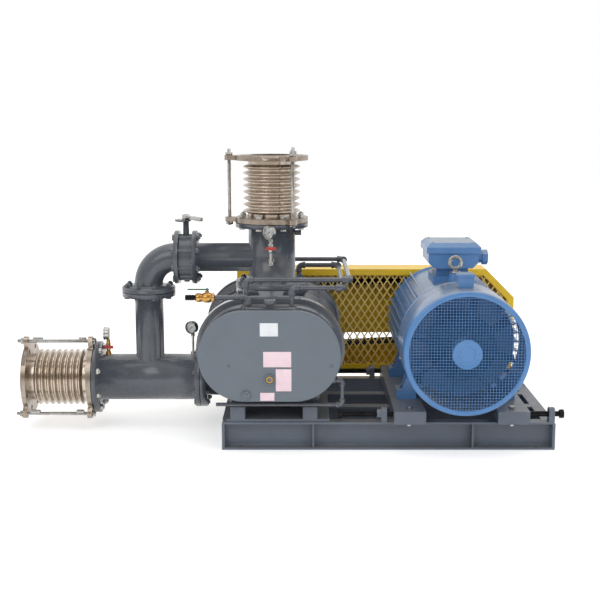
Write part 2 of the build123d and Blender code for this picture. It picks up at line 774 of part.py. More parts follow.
def motor_frame():
    reach = fin_radius - motor_shell_radius + 6
    fin = Box(reach, motor_back_y - motor_front_y, fin_thickness)
    middle = (motor_x, (motor_front_y + motor_back_y) / 2, motor_z)
    fins = []
    for angle in range(0, 360, fin_step):
        under_terminal_box = 62 <= angle <= 118
        over_feet = 207 <= angle <= 333
        if not under_terminal_box and not over_feet:
            fins.append(Pos(*middle) * Rot(0, -angle, 0) * Pos(fin_radius - reach / 2, 0, 0) * fin)
    shell = rod(motor_shell_radius, (motor_x, motor_front_y, motor_z), (motor_x, motor_back_y, motor_z)) + fins
    for side in (-1, 1):
        for y in (foot_hole_y - motor_foot_pitch, foot_hole_y):
            shell += motor_foot(side, y)
    shell += block(motor_x - 90, motor_x + 90, terminal_y - 100, terminal_y + 100, motor_z + 215,
                   motor_z + terminal_neck_rise)
    shell += rod(26, (motor_x, lifting_eye_y, motor_z + 225), (motor_x, lifting_eye_y, motor_z + eye_boss_top))
    inner = motor_shell_radius - motor_shell_wall
    return shell - rod(inner, (motor_x, motor_front_y - 1, motor_z), (motor_x, motor_back_y + 1, motor_z))


def motor_end_shields():
    seat = motor_shell_radius + 8
    bore = motor_shaft_radius + motor_bearing_wall
    opening = motor_shaft_radius + 0.5
    outline = [
        (bore, -18), (bore + 14, -18), (bore + 14, 0), (seat, 0), (seat, 14), (110, 26),
        (opening, 26), (opening, 12), (bore, 12),
    ]
    back = revolve_about(outline, (motor_x, motor_back_y, motor_z), (0, 1, 0))
    front = revolve_about(outline, (motor_x, motor_front_y, motor_z), (0, -1, 0))
    cowl_inner = cowl_radius - cowl_wall
    length = cowl_inner - seat + 8
    for angle in (45, 135, 225, 315):
        lug = Rot(0, -angle, 0) * Pos(cowl_inner - length / 2, 0, 0) * Box(length, 12, 30)
        front += Pos(motor_x, motor_front_y - 7, motor_z) * lug
    reach = rod(cowl_inner - seat_gap, (motor_x, motor_front_y - 40, motor_z), (motor_x, motor_front_y, motor_z))
    return [back, front & reach]


def motor_bearings():
    outer = motor_shaft_radius + motor_bearing_wall - seat_gap
    rings = []
    for y0 in (motor_back_y - 18, motor_front_y - 12):
        rings.append(ring(outer, motor_shaft_radius + running_gap, (motor_x, y0, motor_z),
                          (motor_x, y0 + motor_bearing_wall, motor_z)))
    return rings


def motor_rotor():
    end = motor_shoulder_y + motor_shaft_length
    shaft = rod(motor_shaft_radius, (motor_x, cowl_front_y + 90, motor_z), (motor_x, end, motor_z))
    return shaft + rod(motor_core_radius, (motor_x, core_front_y, motor_z), (motor_x, core_back_y, motor_z))


def motor_stator():
    return ring(motor_shell_radius - motor_shell_wall - seat_gap, motor_core_radius + air_gap,
                (motor_x, core_front_y, motor_z), (motor_x, core_back_y, motor_z))


def motor_fan():
    """Straight-bladed cooling fan on a disc behind the grille."""
    y0 = cowl_front_y + 100
    fan = rod(55, (motor_x, y0, motor_z), (motor_x, y0 + 60, motor_z))
    fan += rod(150, (motor_x, y0 + 52, motor_z), (motor_x, y0 + 58, motor_z))
    for i in range(fan_blades):
        blade = Rot(0, 360 * i / fan_blades + 12, 0) * Pos(140, 0, 0) * Rot(24, 0, 0) * Box(180, 52, 6)
        fan += Pos(motor_x, y0 + 30, motor_z) * blade
    return fan - rod(motor_shaft_radius + seat_gap, (motor_x, y0 - 1, motor_z), (motor_x, y0 + 70, motor_z))


def grille_bars(turn, depth, reach):
    """One layer of parallel bars across the cowl's mouth, kept clear of its centre disc."""
    low = cowl_front_y + depth
    high = low + grille_bar
    disc = rod(reach, (motor_x, low, motor_z), (motor_x, high, motor_z))
    disc -= rod(grille_boss_radius, (motor_x, low - 1, motor_z), (motor_x, high + 1, motor_z))
    count = int(grille_radius / grille_pitch)
    bars = []
    for i in range(-count, count + 1):
        bar = Rot(0, turn, 0) * Pos(0, grille_bar / 2, i * grille_pitch) * Box(3 * reach, grille_bar, grille_bar)
        bars += ((Pos(motor_x, low, motor_z) * bar) & disc).solids()
    return bars


def fan_cowl():
    """Cowl with a rolled lip, a centre disc and a square grille of crossed bars."""
    inner = cowl_radius - cowl_wall
    outline = [
        (grille_radius, 0), (cowl_radius - 8, 0), (cowl_radius, 8), (cowl_radius, cowl_length),
        (inner, cowl_length), (inner, 9), (inner - 6, 3), (grille_radius, 3),
    ]
    shell = revolve_about(outline, (motor_x, cowl_front_y, motor_z), (0, 1, 0))
    outline = [(0, 0), (30, 0), (34, 3), (grille_boss_radius - 6, 3), (grille_boss_radius, 0),
               (grille_boss_radius, 6), (0, 6)]
    boss = revolve_about(outline, (motor_x, cowl_front_y, motor_z), (0, 1, 0))
    return [shell, boss] + grille_bars(0, 0, grille_radius - seat_gap) + grille_bars(90, grille_bar, inner - 6)


def terminal_box():
    z0 = motor_z + terminal_neck_rise
    z1 = z0 + terminal_neck_height
    half_x = terminal_width / 2
    half_y = terminal_length / 2
    neck_x = terminal_neck_width / 2
    neck_y = terminal_neck_length / 2
    neck = block(motor_x - neck_x, motor_x + neck_x, terminal_y - neck_y, terminal_y + neck_y, z0, z1)
    body = block(motor_x - half_x, motor_x + half_x, terminal_y - half_y, terminal_y + half_y, z1,
                 z1 + terminal_height)
    body = chamfer(body.edges().filter_by(Axis.Y).group_by(Axis.Z)[0], terminal_chamfer)
    side = motor_x + half_x
    gland_z = z1 + terminal_height / 2 + 2.5
    box = neck + body + rod(gland_radius, (side, terminal_y, gland_z), (side + 34, terminal_y, gland_z))
    box += hexagon(62, (side + 34, terminal_y, gland_z), (side + 60, terminal_y, gland_z))
    return box - rod(gland_bore, (side + 10, terminal_y, gland_z), (side + 64, terminal_y, gland_z))


def terminal_box_lid():
    z0 = motor_z + terminal_neck_rise + terminal_neck_height + terminal_height
    half_x = terminal_width / 2 + terminal_lid_overhang
    half_y = terminal_length / 2 + terminal_lid_overhang
    lid = block(motor_x - half_x, motor_x + half_x, terminal_y - half_y, terminal_y + half_y, z0,
                z0 + terminal_lid_height)
    return chamfer(lid.faces().sort_by(Axis.Z)[-1].edges(), terminal_lid_bevel)


def lifting_eye():
    z = motor_z + eye_boss_top
    outline = [(18, 3), (18, 11), (22, 14), (30, 14), (34, 11), (34, 3), (30, 0), (22, 0)]
    eye = revolve_about(outline, (motor_x, lifting_eye_y + 7, z + eye_rise), (0, -1, 0))
    eye += block(motor_x - 9, motor_x + 9, lifting_eye_y - 6, lifting_eye_y + 6, z, z + 20)
    return eye + rod(22, (motor_x, lifting_eye_y, z), (motor_x, lifting_eye_y, z + 8))


def aux_box():
    z = motor_z + cowl_radius + seat_gap
    half_x = aux_box_width / 2
    half_y = aux_box_length / 2
    y = cowl_front_y + aux_box_inset
    body = block(motor_x - half_x, motor_x + half_x, y - half_y, y + half_y, z, z + 46)
    lid = block(motor_x - half_x - 4, motor_x + half_x + 4, y - half_y - 4, y + half_y + 4, z + 46, z + 60)
    return body + fillet(lid.edges().group_by(Axis.Z)[-1], 5)


def motor_rails():
    rails = []
    for x in rail_places:
        y1 = rail_front_y + rail_length
        rail = block(x - rail_width / 2, x + rail_width / 2, rail_front_y, y1, base_height, rail_top_z)
        rail -= block(x - rail_width / 2 + rail_wall, x + rail_width / 2 - rail_wall, rail_front_y + rail_wall,
                      y1 - rail_wall, base_height - 1, rail_top_z - rail_wall)
        for y in (foot_hole_y - motor_foot_pitch, foot_hole_y):
            rail -= rod(foot_bolt_radius + 1, (x, y, rail_top_z - 10), (x, y, rail_top_z + 1))
        for y in (-clamp_bolt_y, clamp_bolt_y):
            rail -= rod(clamp_bolt_radius + 0.5, (x, y, rail_top_z - 10), (x, y, rail_top_z + 1))
        rails.append(rail)
    return rails


def bolt(x, y, top, bottom, radius, across_flats):
    """Upright hexagon bolt with its nut: top is under the head, bottom is above the nut."""
    piece = rod(radius, (x, y, bottom - 1.6 * radius), (x, y, top + radius))
    piece += hexagon(across_flats, (x, y, top), (x, y, top + 1.3 * radius))
    return piece + hexagon(across_flats, (x, y, bottom - 1.4 * radius), (x, y, bottom))


def motor_mounting_bolts():
    bolts = []
    for x in rail_places:
        for y in (foot_hole_y - motor_foot_pitch, foot_hole_y):
            bolts.append(bolt(x, y, rail_top_z + motor_foot_thickness, rail_top_z - rail_wall, foot_bolt_radius, 36))
        for y in (-clamp_bolt_y, clamp_bolt_y):
            bolts.append(bolt(x, y, rail_top_z, base_height - channel_flange_thickness, clamp_bolt_radius, 24))
    return bolts


def jack_places():
    """Bracket middle, rail side, outward direction and free length of each jack screw."""
    left = rail_places[0] - rail_width / 2
    right = rail_places[1] + rail_width / 2
    return [(left - jack_left_gap, left, -1, jack_left_tail), (right + jack_right_gap, right, 1, jack_right_tail)]


def jack_brackets():
    pieces = []
    z = base_height + jack_axis_height
    half = jack_bracket_thickness / 2
    for y in (-clamp_bolt_y, clamp_bolt_y):
        for x, _, side, _ in jack_places():
            ear = block(x - half, x + half, y - jack_bracket_width / 2, y + jack_bracket_width / 2, base_height,
                        base_height + jack_bracket_height)
            ear = chamfer(ear.faces().sort_by(Axis.Z)[-1].edges().filter_by(Axis.X), 10)
            hole = rod(jack_radius + body_gap, (x - half - 1, y, z), (x + half + 1, y, z))
            pieces.append(ear - hole)
            if side < 0:
                nut = hexagon(jack_nut_flats, (x - half - jack_nut_height, y, z), (x - half, y, z))
                pieces.append(nut - rod(jack_radius + body_gap, (x - 3 * half, y, z), (x, y, z)))
    return pieces


def jack_screws():
    screws = []
    z = base_height + jack_axis_height
    for y in (-clamp_bolt_y, clamp_bolt_y):
        for x, face, side, tail in jack_places():
            end = x + side * (jack_bracket_thickness / 2 + tail)
            screw = rod(jack_radius, (face, y, z), (end, y, z))
            screws.append(screw + hexagon(jack_nut_flats, (end - side * jack_nut_height, y, z), (end, y, z)))
    return screws


# ---------------------------------------------------------------- inlet and discharge pipes


def riser_pipe():
    base = (pump_x, port_y, riser_base_z)
    top = (pump_x, port_y, riser_top_z)
    inner = port_pipe_radius - port_pipe_wall
    right_x = valve_x + valve_flange_gap
    pipe = rod(port_pipe_radius, base, top)
    pipe += rod(port_flange_radius, base, (pump_x, port_y, riser_base_z + port_flange_thickness))
    pipe += rod(port_flange_radius, (pump_x, port_y, riser_top_z - pipe_flange_thickness + 2), top)
    pipe += rod(branch_radius, (right_x, port_y, branch_axis_z), (pump_x, port_y, branch_axis_z))
    pipe += rod(branch_flange_radius, (right_x, port_y, branch_axis_z),
                (right_x + branch_flange_thickness, port_y, branch_axis_z))
    pipe -= rod(inner, (pump_x, port_y, riser_base_z - 1), (pump_x, port_y, riser_top_z + 1))
    pipe -= rod(branch_radius - branch_wall, (right_x - 1, port_y, branch_axis_z), (pump_x, port_y, branch_axis_z))
    socket_z = riser_top_z - 50
    pipe += ring(12, 6, (pump_x + port_pipe_radius - 2, port_y, socket_z), (pump_x + port_pipe_radius + 28, port_y, socket_z))
    return pipe


def convolutions(length):
    """Half outline of a bellows: straight cuffs and rounded-off folds."""
    cuff = (length - bellows_count * bellows_pitch) / 2
    points = [(bellows_root_radius, 0)]
    for i in range(bellows_count):
        start = cuff + i * bellows_pitch
        points += [
            (bellows_root_radius, start + 0.1 * bellows_pitch),
            (bellows_tip_radius, start + 0.4 * bellows_pitch),
            (bellows_tip_radius, start + 0.6 * bellows_pitch),
            (bellows_root_radius, start + 0.9 * bellows_pitch),
        ]
    points += [(bellows_root_radius, length), (liner_radius, length), (liner_radius, 0)]
    return points


def eared_flange(plane, angles, free):
    """Bellows flange with three ears for the tie rods; the free end has a raised face and bolt holes."""
    piece = Cylinder(port_flange_radius, pipe_flange_thickness, align=(Align.CENTER, Align.CENTER, Align.MIN))
    for angle in angles:
        reach = tie_rod_circle + 20 - ear_root_radius
        ear = Pos(ear_root_radius + reach / 2, 0, pipe_flange_thickness / 2) * Box(reach, ear_width, pipe_flange_thickness)
        ear = chamfer(ear.edges().filter_by(Axis.Z).group_by(Axis.X)[-1], 12)
        piece += Rot(0, 0, angle) * ear
    if free:
        top = pipe_flange_thickness + raised_face
        piece += Cylinder(raised_face_radius, top, align=(Align.CENTER, Align.CENTER, Align.MIN))
        hole = Cylinder(port_hole_radius, 3 * pipe_flange_thickness)
        for i in range(port_hole_count):
            turn = 360 * (i + 0.5) / port_hole_count
            piece -= Rot(0, 0, turn) * Pos(port_bolt_circle, 0, 0) * hole
    piece -= Cylinder(liner_radius, 4 * pipe_flange_thickness)
    for angle in angles:
        hole = Cylinder(tie_rod_radius + body_gap + 0.2, 3 * pipe_flange_thickness)
        piece -= Rot(0, 0, angle) * Pos(tie_rod_circle, 0, 0) * hole
    return plane * piece


inlet_ears = (180, 300, 60)
discharge_ears = (342, 102, 222)


def inlet_plane(z):
    return Plane(origin=(pump_x, port_y, z), x_dir=(1, 0, 0), z_dir=(0, 0, 1))


def discharge_plane(x):
    """Looks along -X with its first axis up, so ear angles run from the top towards the front."""
    return Plane(origin=(x, port_y, duct_axis_z), x_dir=(0, 0, 1), z_dir=(-1, 0, 0))


def bellows(plane, length):
    profile = make_face(Plane.XZ * Polyline(*convolutions(length), close=True))
    return plane * revolve(profile, Axis.Z)


def bellows_fixed_flanges():
    return [
        eared_flange(inlet_plane(riser_top_z + gasket_thickness), inlet_ears, False),
        eared_flange(discharge_plane(pipe_left_x - gasket_thickness), discharge_ears, False),
    ]


def tie_rods(plane, angles, length):
    """Three rods from the fixed flange to outside the free one, with their nuts."""
    pieces = []
    free_face = 2 * pipe_flange_thickness + length
    stem_length = tie_rod_end + free_face + tie_rod_free_end
    stem = Cylinder(tie_rod_radius, stem_length, align=(Align.CENTER, Align.CENTER, Align.MIN))
    nut = extrude(RegularPolygon(tie_rod_nut_flats / 2, 6, major_radius=False), tie_rod_nut_height)
    rod_with_nuts = Pos(0, 0, -tie_rod_end) * stem
    for z in (-tie_rod_nut_height - seat_gap, free_face + seat_gap):
        rod_with_nuts += Pos(0, 0, z) * nut
    for angle in angles:
        pieces.append(plane * Rot(0, 0, angle) * Pos(tie_rod_circle, 0, 0) * rod_with_nuts)
    return pieces


def bellows_tie_rods():
    inlet = tie_rods(inlet_plane(riser_top_z + gasket_thickness), inlet_ears, bellows_length)
    outlet = tie_rods(discharge_plane(pipe_left_x - gasket_thickness), discharge_ears, discharge_bellows_length)
    return inlet + outlet


def branch_elbow():
    start = (elbow_start_x + branch_flange_thickness, port_y, branch_axis_z)
    bend_start = (elbow_start_x, port_y, branch_axis_z)
    bend_middle = (elbow_start_x - elbow_radius * sin(pi / 4), port_y, branch_axis_z - elbow_radius * (1 - cos(pi / 4)))
    bend_end = (branch_x, port_y, branch_axis_z - elbow_radius)
    flange_top = (branch_x, port_y, elbow_end_z)
    end = (branch_x, port_y, elbow_end_z - branch_flange_thickness)
    path = Wire([Edge.make_line(start, bend_start), Edge.make_three_point_arc(bend_start, bend_middle, bend_end),
                 Edge.make_line(bend_end, end)])
    section = Plane(origin=start, z_dir=(-1, 0, 0))
    pipe = sweep(section * Circle(branch_radius), path)
    pipe += rod(branch_flange_radius, bend_start, start) + rod(branch_flange_radius, end, flange_top)
    return pipe - sweep(section * Circle(branch_radius - branch_wall), path)


def valve_body():
    left = valve_x - valve_width / 2
    right = valve_x + valve_width / 2
    body = rod(valve_body_radius, (left, port_y, branch_axis_z), (right, port_y, branch_axis_z))
    body += rod(valve_neck_radius, (valve_x, port_y, branch_axis_z + 80), (valve_x, port_y, valve_neck_top_z))
    body += rod(13, (valve_x, port_y, branch_axis_z - valve_body_radius - 12), (valve_x, port_y, branch_axis_z - 80))
    thickness = valve_plate_thickness
    plate = Cylinder(valve_plate_radius, thickness, align=(Align.CENTER, Align.CENTER, Align.MIN))
    plate &= block(-valve_plate_radius - 8, 0, -valve_plate_radius - 8, 34, 0, thickness)
    plate += Cylinder(24, thickness, align=(Align.CENTER, Align.CENTER, Align.MIN))
    body += Pos(valve_x, port_y, valve_neck_top_z - thickness) * plate
    bore = branch_radius - branch_wall
    body -= rod(bore, (left - 1, port_y, branch_axis_z), (right + 1, port_y, branch_axis_z))
    return body - rod(valve_stem_radius + running_gap, (valve_x, port_y, branch_axis_z - 90),
                      (valve_x, port_y, valve_neck_top_z + 1))


def turned_at_valve(shape):
    return Pos(valve_x, port_y, 0) * Rot(0, 0, valve_opening_at_rest) * shape


def valve_disc():
    disc = Rot(0, 90, 0) * Cylinder(branch_radius - branch_wall - 1, 10)
    disc += Cylinder(valve_stem_radius + 4, 2 * (branch_radius - branch_wall - 3))
    stem = rod(valve_stem_radius, (0, 0, -88), (0, 0, valve_neck_top_z + 24 - branch_axis_z))
    return turned_at_valve(Pos(0, 0, branch_axis_z) * (disc + stem))


def valve_lever():
    z0 = valve_neck_top_z + body_gap
    lever = rod(18, (0, 0, z0), (0, 0, z0 + 22))
    lever += block(-9, 9, -valve_lever_length, 0, z0 + 8, z0 + 18)
    grip = block(-13, 13, -valve_lever_length, -70, z0 + 5, z0 + 20)
    lever += fillet(grip.edges().filter_by(Axis.Z), 8)
    return turned_at_valve(lever - rod(valve_stem_radius + seat_gap, (0, 0, z0 - 1), (0, 0, z0 + 30)))


def discharge_pipe():
    left = (pipe_left_x, port_y, duct_axis_z)
    right = (pipe_right_x, port_y, duct_axis_z)
    flange_left = (pipe_left_x + pipe_flange_thickness, port_y, duct_axis_z)
    flange_right = (pipe_right_x - pipe_flange_thickness, port_y, duct_axis_z)
    pipe = rod(port_pipe_radius, left, right)
    pipe += rod(port_flange_radius, left, flange_left)
    pipe += rod(outlet_flange_radius, flange_right, right)
    pipe += rod(branch_radius, (branch_x, port_y, duct_axis_z), (branch_x, port_y, branch_top_z))
    pipe += rod(branch_flange_radius, (branch_x, port_y, branch_top_z - branch_flange_thickness),
                (branch_x, port_y, branch_top_z))
    pipe -= rod(port_pipe_radius - port_pipe_wall, (pipe_left_x - 1, port_y, duct_axis_z),
                (pipe_right_x - pipe_flange_thickness, port_y, duct_axis_z))
    pipe -= rod(duct_bore, flange_right, (pipe_right_x + 1, port_y, duct_axis_z))
    return pipe - rod(branch_radius - branch_wall, (branch_x, port_y, duct_axis_z), (branch_x, port_y, branch_top_z + 1))


def gaskets():
    t = gasket_thickness
    y = port_y
    rings = [
        ring(port_flange_radius - 30, liner_radius, (pump_x, y, inlet_face_z), (pump_x, y, inlet_face_z + t)),
        ring(port_flange_radius - 30, liner_radius, (pump_x, y, riser_top_z), (pump_x, y, riser_top_z + t)),
        ring(outlet_flange_radius - 26, duct_bore, (pipe_right_x, y, duct_axis_z), (outlet_face_x, y, duct_axis_z)),
        ring(port_flange_radius - 30, liner_radius, (pipe_left_x - t, y, duct_axis_z), (pipe_left_x, y, duct_axis_z)),
        ring(branch_flange_radius - 24, branch_radius - branch_wall, (branch_x, y, branch_top_z),
             (branch_x, y, branch_top_z + t)),
    ]
    for side in (-1, 1):
        inner = valve_x + side * valve_width / 2
        rings.append(ring(branch_flange_radius - 24, branch_radius - branch_wall, (inner, y, branch_axis_z),
                          (inner + side * t, y, branch_axis_z)))
    return rings


# ---------------------------------------------------------------- water and gauge pipework


def cooling_pipes():
    feed = elbowed_pipe(water_pipe_radius, [
        (water_valve_x + water_valve_length, gear_case_tap_y, water_pipe_z),
        (feed_tap_x, gear_case_tap_y, water_pipe_z),
        (feed_tap_x, gear_case_tap_y, gear_case_tap_z),
    ])
    low = elbowed_pipe(water_pipe_radius, [
        (low_tap_x, gear_case_tap_y, gear_case_tap_z),
        (low_tap_x, gear_case_tap_y, low_pipe_z),
        (low_run_x, gear_case_tap_y, low_pipe_z),
        (low_run_x, plate_tap_y, low_pipe_z),
        (low_end_x, plate_tap_y, low_pipe_z),
        (low_end_x, plate_tap_y, plate_tap_z),
    ])
    high = elbowed_pipe(water_pipe_radius, [
        (high_tap_x, high_tap_y, gear_case_tap_z),
        (high_tap_x, high_tap_y, high_pipe_z),
        (high_run_x, high_tap_y, high_pipe_z),
        (high_run_x, plate_tap_y, high_pipe_z),
        (high_end_x, plate_tap_y, high_pipe_z),
        (high_end_x, plate_tap_y, plate_tap_z),
    ])
    drain = elbowed_pipe(drain_pipe_radius, [
        (drain_left_x, drain_y, drain_pipe_z),
        (drain_tap_x + 30, drain_y, drain_pipe_z),
        (drain_tap_x + 30, drain_y, drain_tap_z),
        (drain_tap_x, drain_y, drain_tap_z),
    ])
    return [feed, low, high, drain]


def water_valve_body():
    """Brass ball valve with a hose tail, on the cooling water feed."""
    outline = [
        (8, 0), (11, 0), (15, 26), (13, 28), (16, 62), (20, 62), (20, 74), (23, 80), (23, 112), (20, 118),
        (20, water_valve_length), (8, water_valve_length), (8, 110), (15.3, 104), (15.3, 88), (8, 82),
    ]
    body = revolve_about(outline, (water_valve_x, gear_case_tap_y, water_pipe_z), (1, 0, 0))
    body += rod(9, (water_ball_x, gear_case_tap_y, water_pipe_z + 17), (water_ball_x, gear_case_tap_y, water_pipe_z + 29))
    return body - rod(water_stem_radius + running_gap, (water_ball_x, gear_case_tap_y, water_pipe_z),
                      (water_ball_x, gear_case_tap_y, water_pipe_z + 30))


def water_valve_lever():
    """Bored ball, stem and flat handle of the water valve, in one piece."""
    x = water_ball_x
    y = gear_case_tap_y
    z = water_pipe_z
    ball = Pos(x, y, z) * Sphere(water_ball_radius) - rod(water_bore_radius, (x - 20, y, z), (x + 20, y, z))
    stem = rod(water_stem_radius, (x, y, z + 13), (x, y, z + 41))
    handle = block(x - 86, x + 9, y - 8, y + 8, z + 34, z + 38)
    return ball + stem + fillet(handle.edges().filter_by(Axis.Z), 6)


# Each gauge: stem foot, height of the centre and the direction it faces
gauges = {
    "riser": ((pump_x, port_y - port_pipe_radius - riser_gauge_offset), branch_axis_z + 139, 227.0),
    "discharge": ((discharge_gauge_x, port_y), duct_axis_z + 211, 180.0),
    "outlet": ((outlet_gauge_x, port_y), duct_axis_z + 242, 245.0),
}


def gauge_frame(name):
    """Plane with its normal out of the dial and its first axis level."""
    (x, y), z, facing = gauges[name]
    look = Vector(cos(radians(facing)), sin(radians(facing)), 0)
    return Plane(origin=Vector(x, y, z) - look * 8, x_dir=Vector(0, 0, 1).cross(look), z_dir=look)


def gauge_cases():
    inner = gauge_radius - gauge_rim
    dial = gauge_depth - gauge_recess
    front = gauge_depth + 2
    outline = [(0, 0), (gauge_radius, 0), (gauge_radius, front), (inner, front), (inner, dial), (0, dial)]
    case = revolve(make_face(Plane.XZ * Polyline(*outline, close=True)), Axis.Z)
    return [gauge_frame(name) * case for name in gauges]


def gauge_glasses():
    glass = Pos(0, 0, gauge_depth - 1.5) * Cylinder(gauge_radius - gauge_rim - seat_gap, 2)
    return [gauge_frame(name) * glass for name in gauges]


def gauge_pointer(name):
    """Pointer on its arbor, resting at the low end of the scale."""
    z0 = gauge_depth - gauge_recess + body_gap
    hub = Pos(0, 0, z0) * Cylinder(2.2, 2.4, align=(Align.CENTER, Align.CENTER, Align.MIN))
    outline = Polygon((-6, -1.6), (20, -0.5), (20, 0.5), (-6, 1.6), align=None)
    return gauge_frame(name) * Rot(0, 0, 225) * (hub + Pos(0, 0, z0 + 1) * extrude(outline, 0.8))


def cock_body(x, y, z):
    """Plug cock on a gauge stem, with the socket of its handle towards the front."""
    return rod(10, (x, y, z - 17), (x, y, z + 17)) + rod(7, (x, y, z), (x, y - 14, z))


def cock_socket(x, y, z):
    return rod(cock_stem_radius + running_gap, (x, y - 4, z), (x, y - 15, z))


def gauge_cocks():
    """Gauge stems with their cocks: one on the riser and two on the discharge pipe."""
    (x, y), z, _ = gauges["riser"]
    foot = branch_axis_z + 1
    stem = rod(9, (x, port_y - port_pipe_radius + 8, foot), (x, y, foot)) + rod(11, (x, y, foot - 11), (x, y, foot + 14))
    stem += rod(gauge_stem_radius, (x, y, foot), (x, y, z - gauge_radius)) + cock_body(x, y, riser_cock_z)
    stem -= rod(port_pipe_radius, (pump_x, port_y, foot - 40), (pump_x, port_y, foot + 40))
    pieces = [stem - cock_socket(x, y, riser_cock_z)]
    duct = rod(port_pipe_radius, (pipe_left_x, port_y, duct_axis_z), (pipe_right_x, port_y, duct_axis_z))
    foot = duct_axis_z + port_pipe_radius - 4
    for name, boss in (("discharge", 16), ("outlet", 18)):
        (x, y), z, _ = gauges[name]
        stem = rod(12, (x, y, foot), (x, y, foot + boss)) + rod(gauge_stem_radius, (x, y, foot), (x, y, z - gauge_radius))
        if name == "discharge":
            stem = stem + cock_body(x, y, discharge_cock_z) - cock_socket(x, y, discharge_cock_z)
        pieces.append(stem - duct)
    return pieces


def cock_lever(name, z):
    """Wing handle of a gauge cock, set across the pipe."""
    (x, y), _, _ = gauges[name]
    handle = block(x - 22, x + 26, y - 20, y - 16, z - 7, z + 7)
    handle = fillet(handle.edges().filter_by(Axis.Y), 5)
    return handle + rod(cock_stem_radius, (x, y - 5, z), (x, y - 20, z))


# ---------------------------------------------------------------- output

nodes = {
    "base_channels": base_channels(),
    "pump_sole_plate": pump_sole_plate(),
    "jack_brackets": jack_brackets(),
    "jack_screws": jack_screws(),
    "motor_rails": motor_rails(),
    "motor_mounting_bolts": motor_mounting_bolts(),
    "pump_casing": pump_casing(),
    "gear_end_plate": gear_end_plate(),
    "drive_end_plate": drive_end_plate(),
    "gear_case": gear_case(),
    "gear_case_cover": gear_case_cover(),
    "oil_fittings": oil_fittings(),
    "bearing_covers": bearing_covers(),
    "drive_rotor": rotor(drive_x, pi / 2, pulley_middle_y + 45),
    "driven_rotor": rotor(driven_x, 0, drive_plate_back_y + 12),
    "drive_timing_gear": timing_gear(drive_x, 0),
    "driven_timing_gear": timing_gear(driven_x, pi / gear_teeth),
    "rotor_bearings": rotor_bearings(),
    "pump_pulley": grooved_pulley(drive_x, pump_axis_z, pump_pulley_radius, drive_end_radius + seat_gap),
    "motor_pulley": grooved_pulley(motor_x, motor_z, motor_pulley_radius, motor_shaft_radius + seat_gap),
    "v_belts": v_belts(),
    "guard_frame": guard_frame(),
    "guard_mesh": guard_mesh(),
    "guard_back": guard_back(),
    "motor_frame": motor_frame(),
    "motor_end_shields": motor_end_shields(),
    "motor_bearings": motor_bearings(),
    "motor_rotor": motor_rotor(),
    "motor_stator": motor_stator(),
    "motor_fan": motor_fan(),
    "fan_cowl": fan_cowl(),
    "terminal_box": terminal_box(),
    "terminal_box_lid": terminal_box_lid(),
    "lifting_eye": lifting_eye(),
    "aux_box": aux_box(),
    "riser_pipe": riser_pipe(),
    "inlet_bellows": bellows(inlet_plane(inlet_bellows_z), bellows_length),
    "inlet_free_flange": eared_flange(inlet_plane(inlet_bellows_z + bellows_length), inlet_ears, True),
    "discharge_bellows": bellows(discharge_plane(outlet_bellows_x), discharge_bellows_length),
    "discharge_free_flange": eared_flange(
        discharge_plane(outlet_bellows_x - discharge_bellows_length), discharge_ears, True),
    "bellows_fixed_flanges": bellows_fixed_flanges(),
    "bellows_tie_rods": bellows_tie_rods(),
    "branch_elbow": branch_elbow(),
    "valve_body": valve_body(),
    "valve_disc": valve_disc(),
    "valve_lever": valve_lever(),
    "discharge_pipe": discharge_pipe(),
    "gaskets": gaskets(),
    "cooling_pipes": cooling_pipes(),
    "water_valve_body": water_valve_body(),
    "water_valve_lever": water_valve_lever(),
    "gauge_cases": gauge_cases(),
    "gauge_glasses": gauge_glasses(),
    "riser_gauge_pointer": gauge_pointer("riser"),
    "discharge_gauge_pointer": gauge_pointer("discharge"),
    "outlet_gauge_pointer": gauge_pointer("outlet"),
    "gauge_cocks": gauge_cocks(),
    "riser_cock_lever": cock_lever("riser", riser_cock_z),
    "discharge_cock_lever": cock_lever("discharge", discharge_cock_z),
}

for name, shape in nodes.items():
    if isinstance(shape, list):
        shape = Compound(children=[solid for piece in shape for solid in piece.solids()])
    export_step(shape, f"parts/{name}.step")
    print(name, "done")
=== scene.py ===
import json
from math import acos, atan2, cos, hypot, pi, radians, sin, sqrt
import bpy
from mathutils import Matrix, Vector


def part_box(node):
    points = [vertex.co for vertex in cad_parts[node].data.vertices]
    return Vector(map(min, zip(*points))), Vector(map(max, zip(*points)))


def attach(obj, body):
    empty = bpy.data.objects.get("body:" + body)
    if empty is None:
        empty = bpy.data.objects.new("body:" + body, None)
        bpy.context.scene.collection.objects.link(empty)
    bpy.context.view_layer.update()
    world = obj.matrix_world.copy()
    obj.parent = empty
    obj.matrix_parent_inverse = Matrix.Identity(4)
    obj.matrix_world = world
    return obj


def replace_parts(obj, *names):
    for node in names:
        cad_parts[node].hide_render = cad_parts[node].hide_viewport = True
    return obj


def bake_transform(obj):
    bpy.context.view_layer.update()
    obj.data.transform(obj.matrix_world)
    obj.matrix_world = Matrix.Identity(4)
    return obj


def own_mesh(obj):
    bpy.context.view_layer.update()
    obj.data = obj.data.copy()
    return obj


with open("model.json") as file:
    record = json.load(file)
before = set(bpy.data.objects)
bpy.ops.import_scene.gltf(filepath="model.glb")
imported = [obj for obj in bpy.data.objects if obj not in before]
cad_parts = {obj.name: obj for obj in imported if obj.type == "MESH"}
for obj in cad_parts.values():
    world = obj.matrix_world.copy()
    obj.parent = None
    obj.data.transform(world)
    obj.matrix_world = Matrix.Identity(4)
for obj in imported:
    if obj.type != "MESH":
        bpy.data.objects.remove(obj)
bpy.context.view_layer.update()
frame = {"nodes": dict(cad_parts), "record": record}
cadNodes = frame["nodes"]
bpy.ops.object.select_all(action="DESELECT")
print("frame loaded with", len(cadNodes), "nodes")


def mm(value):
    return value / 1000.0


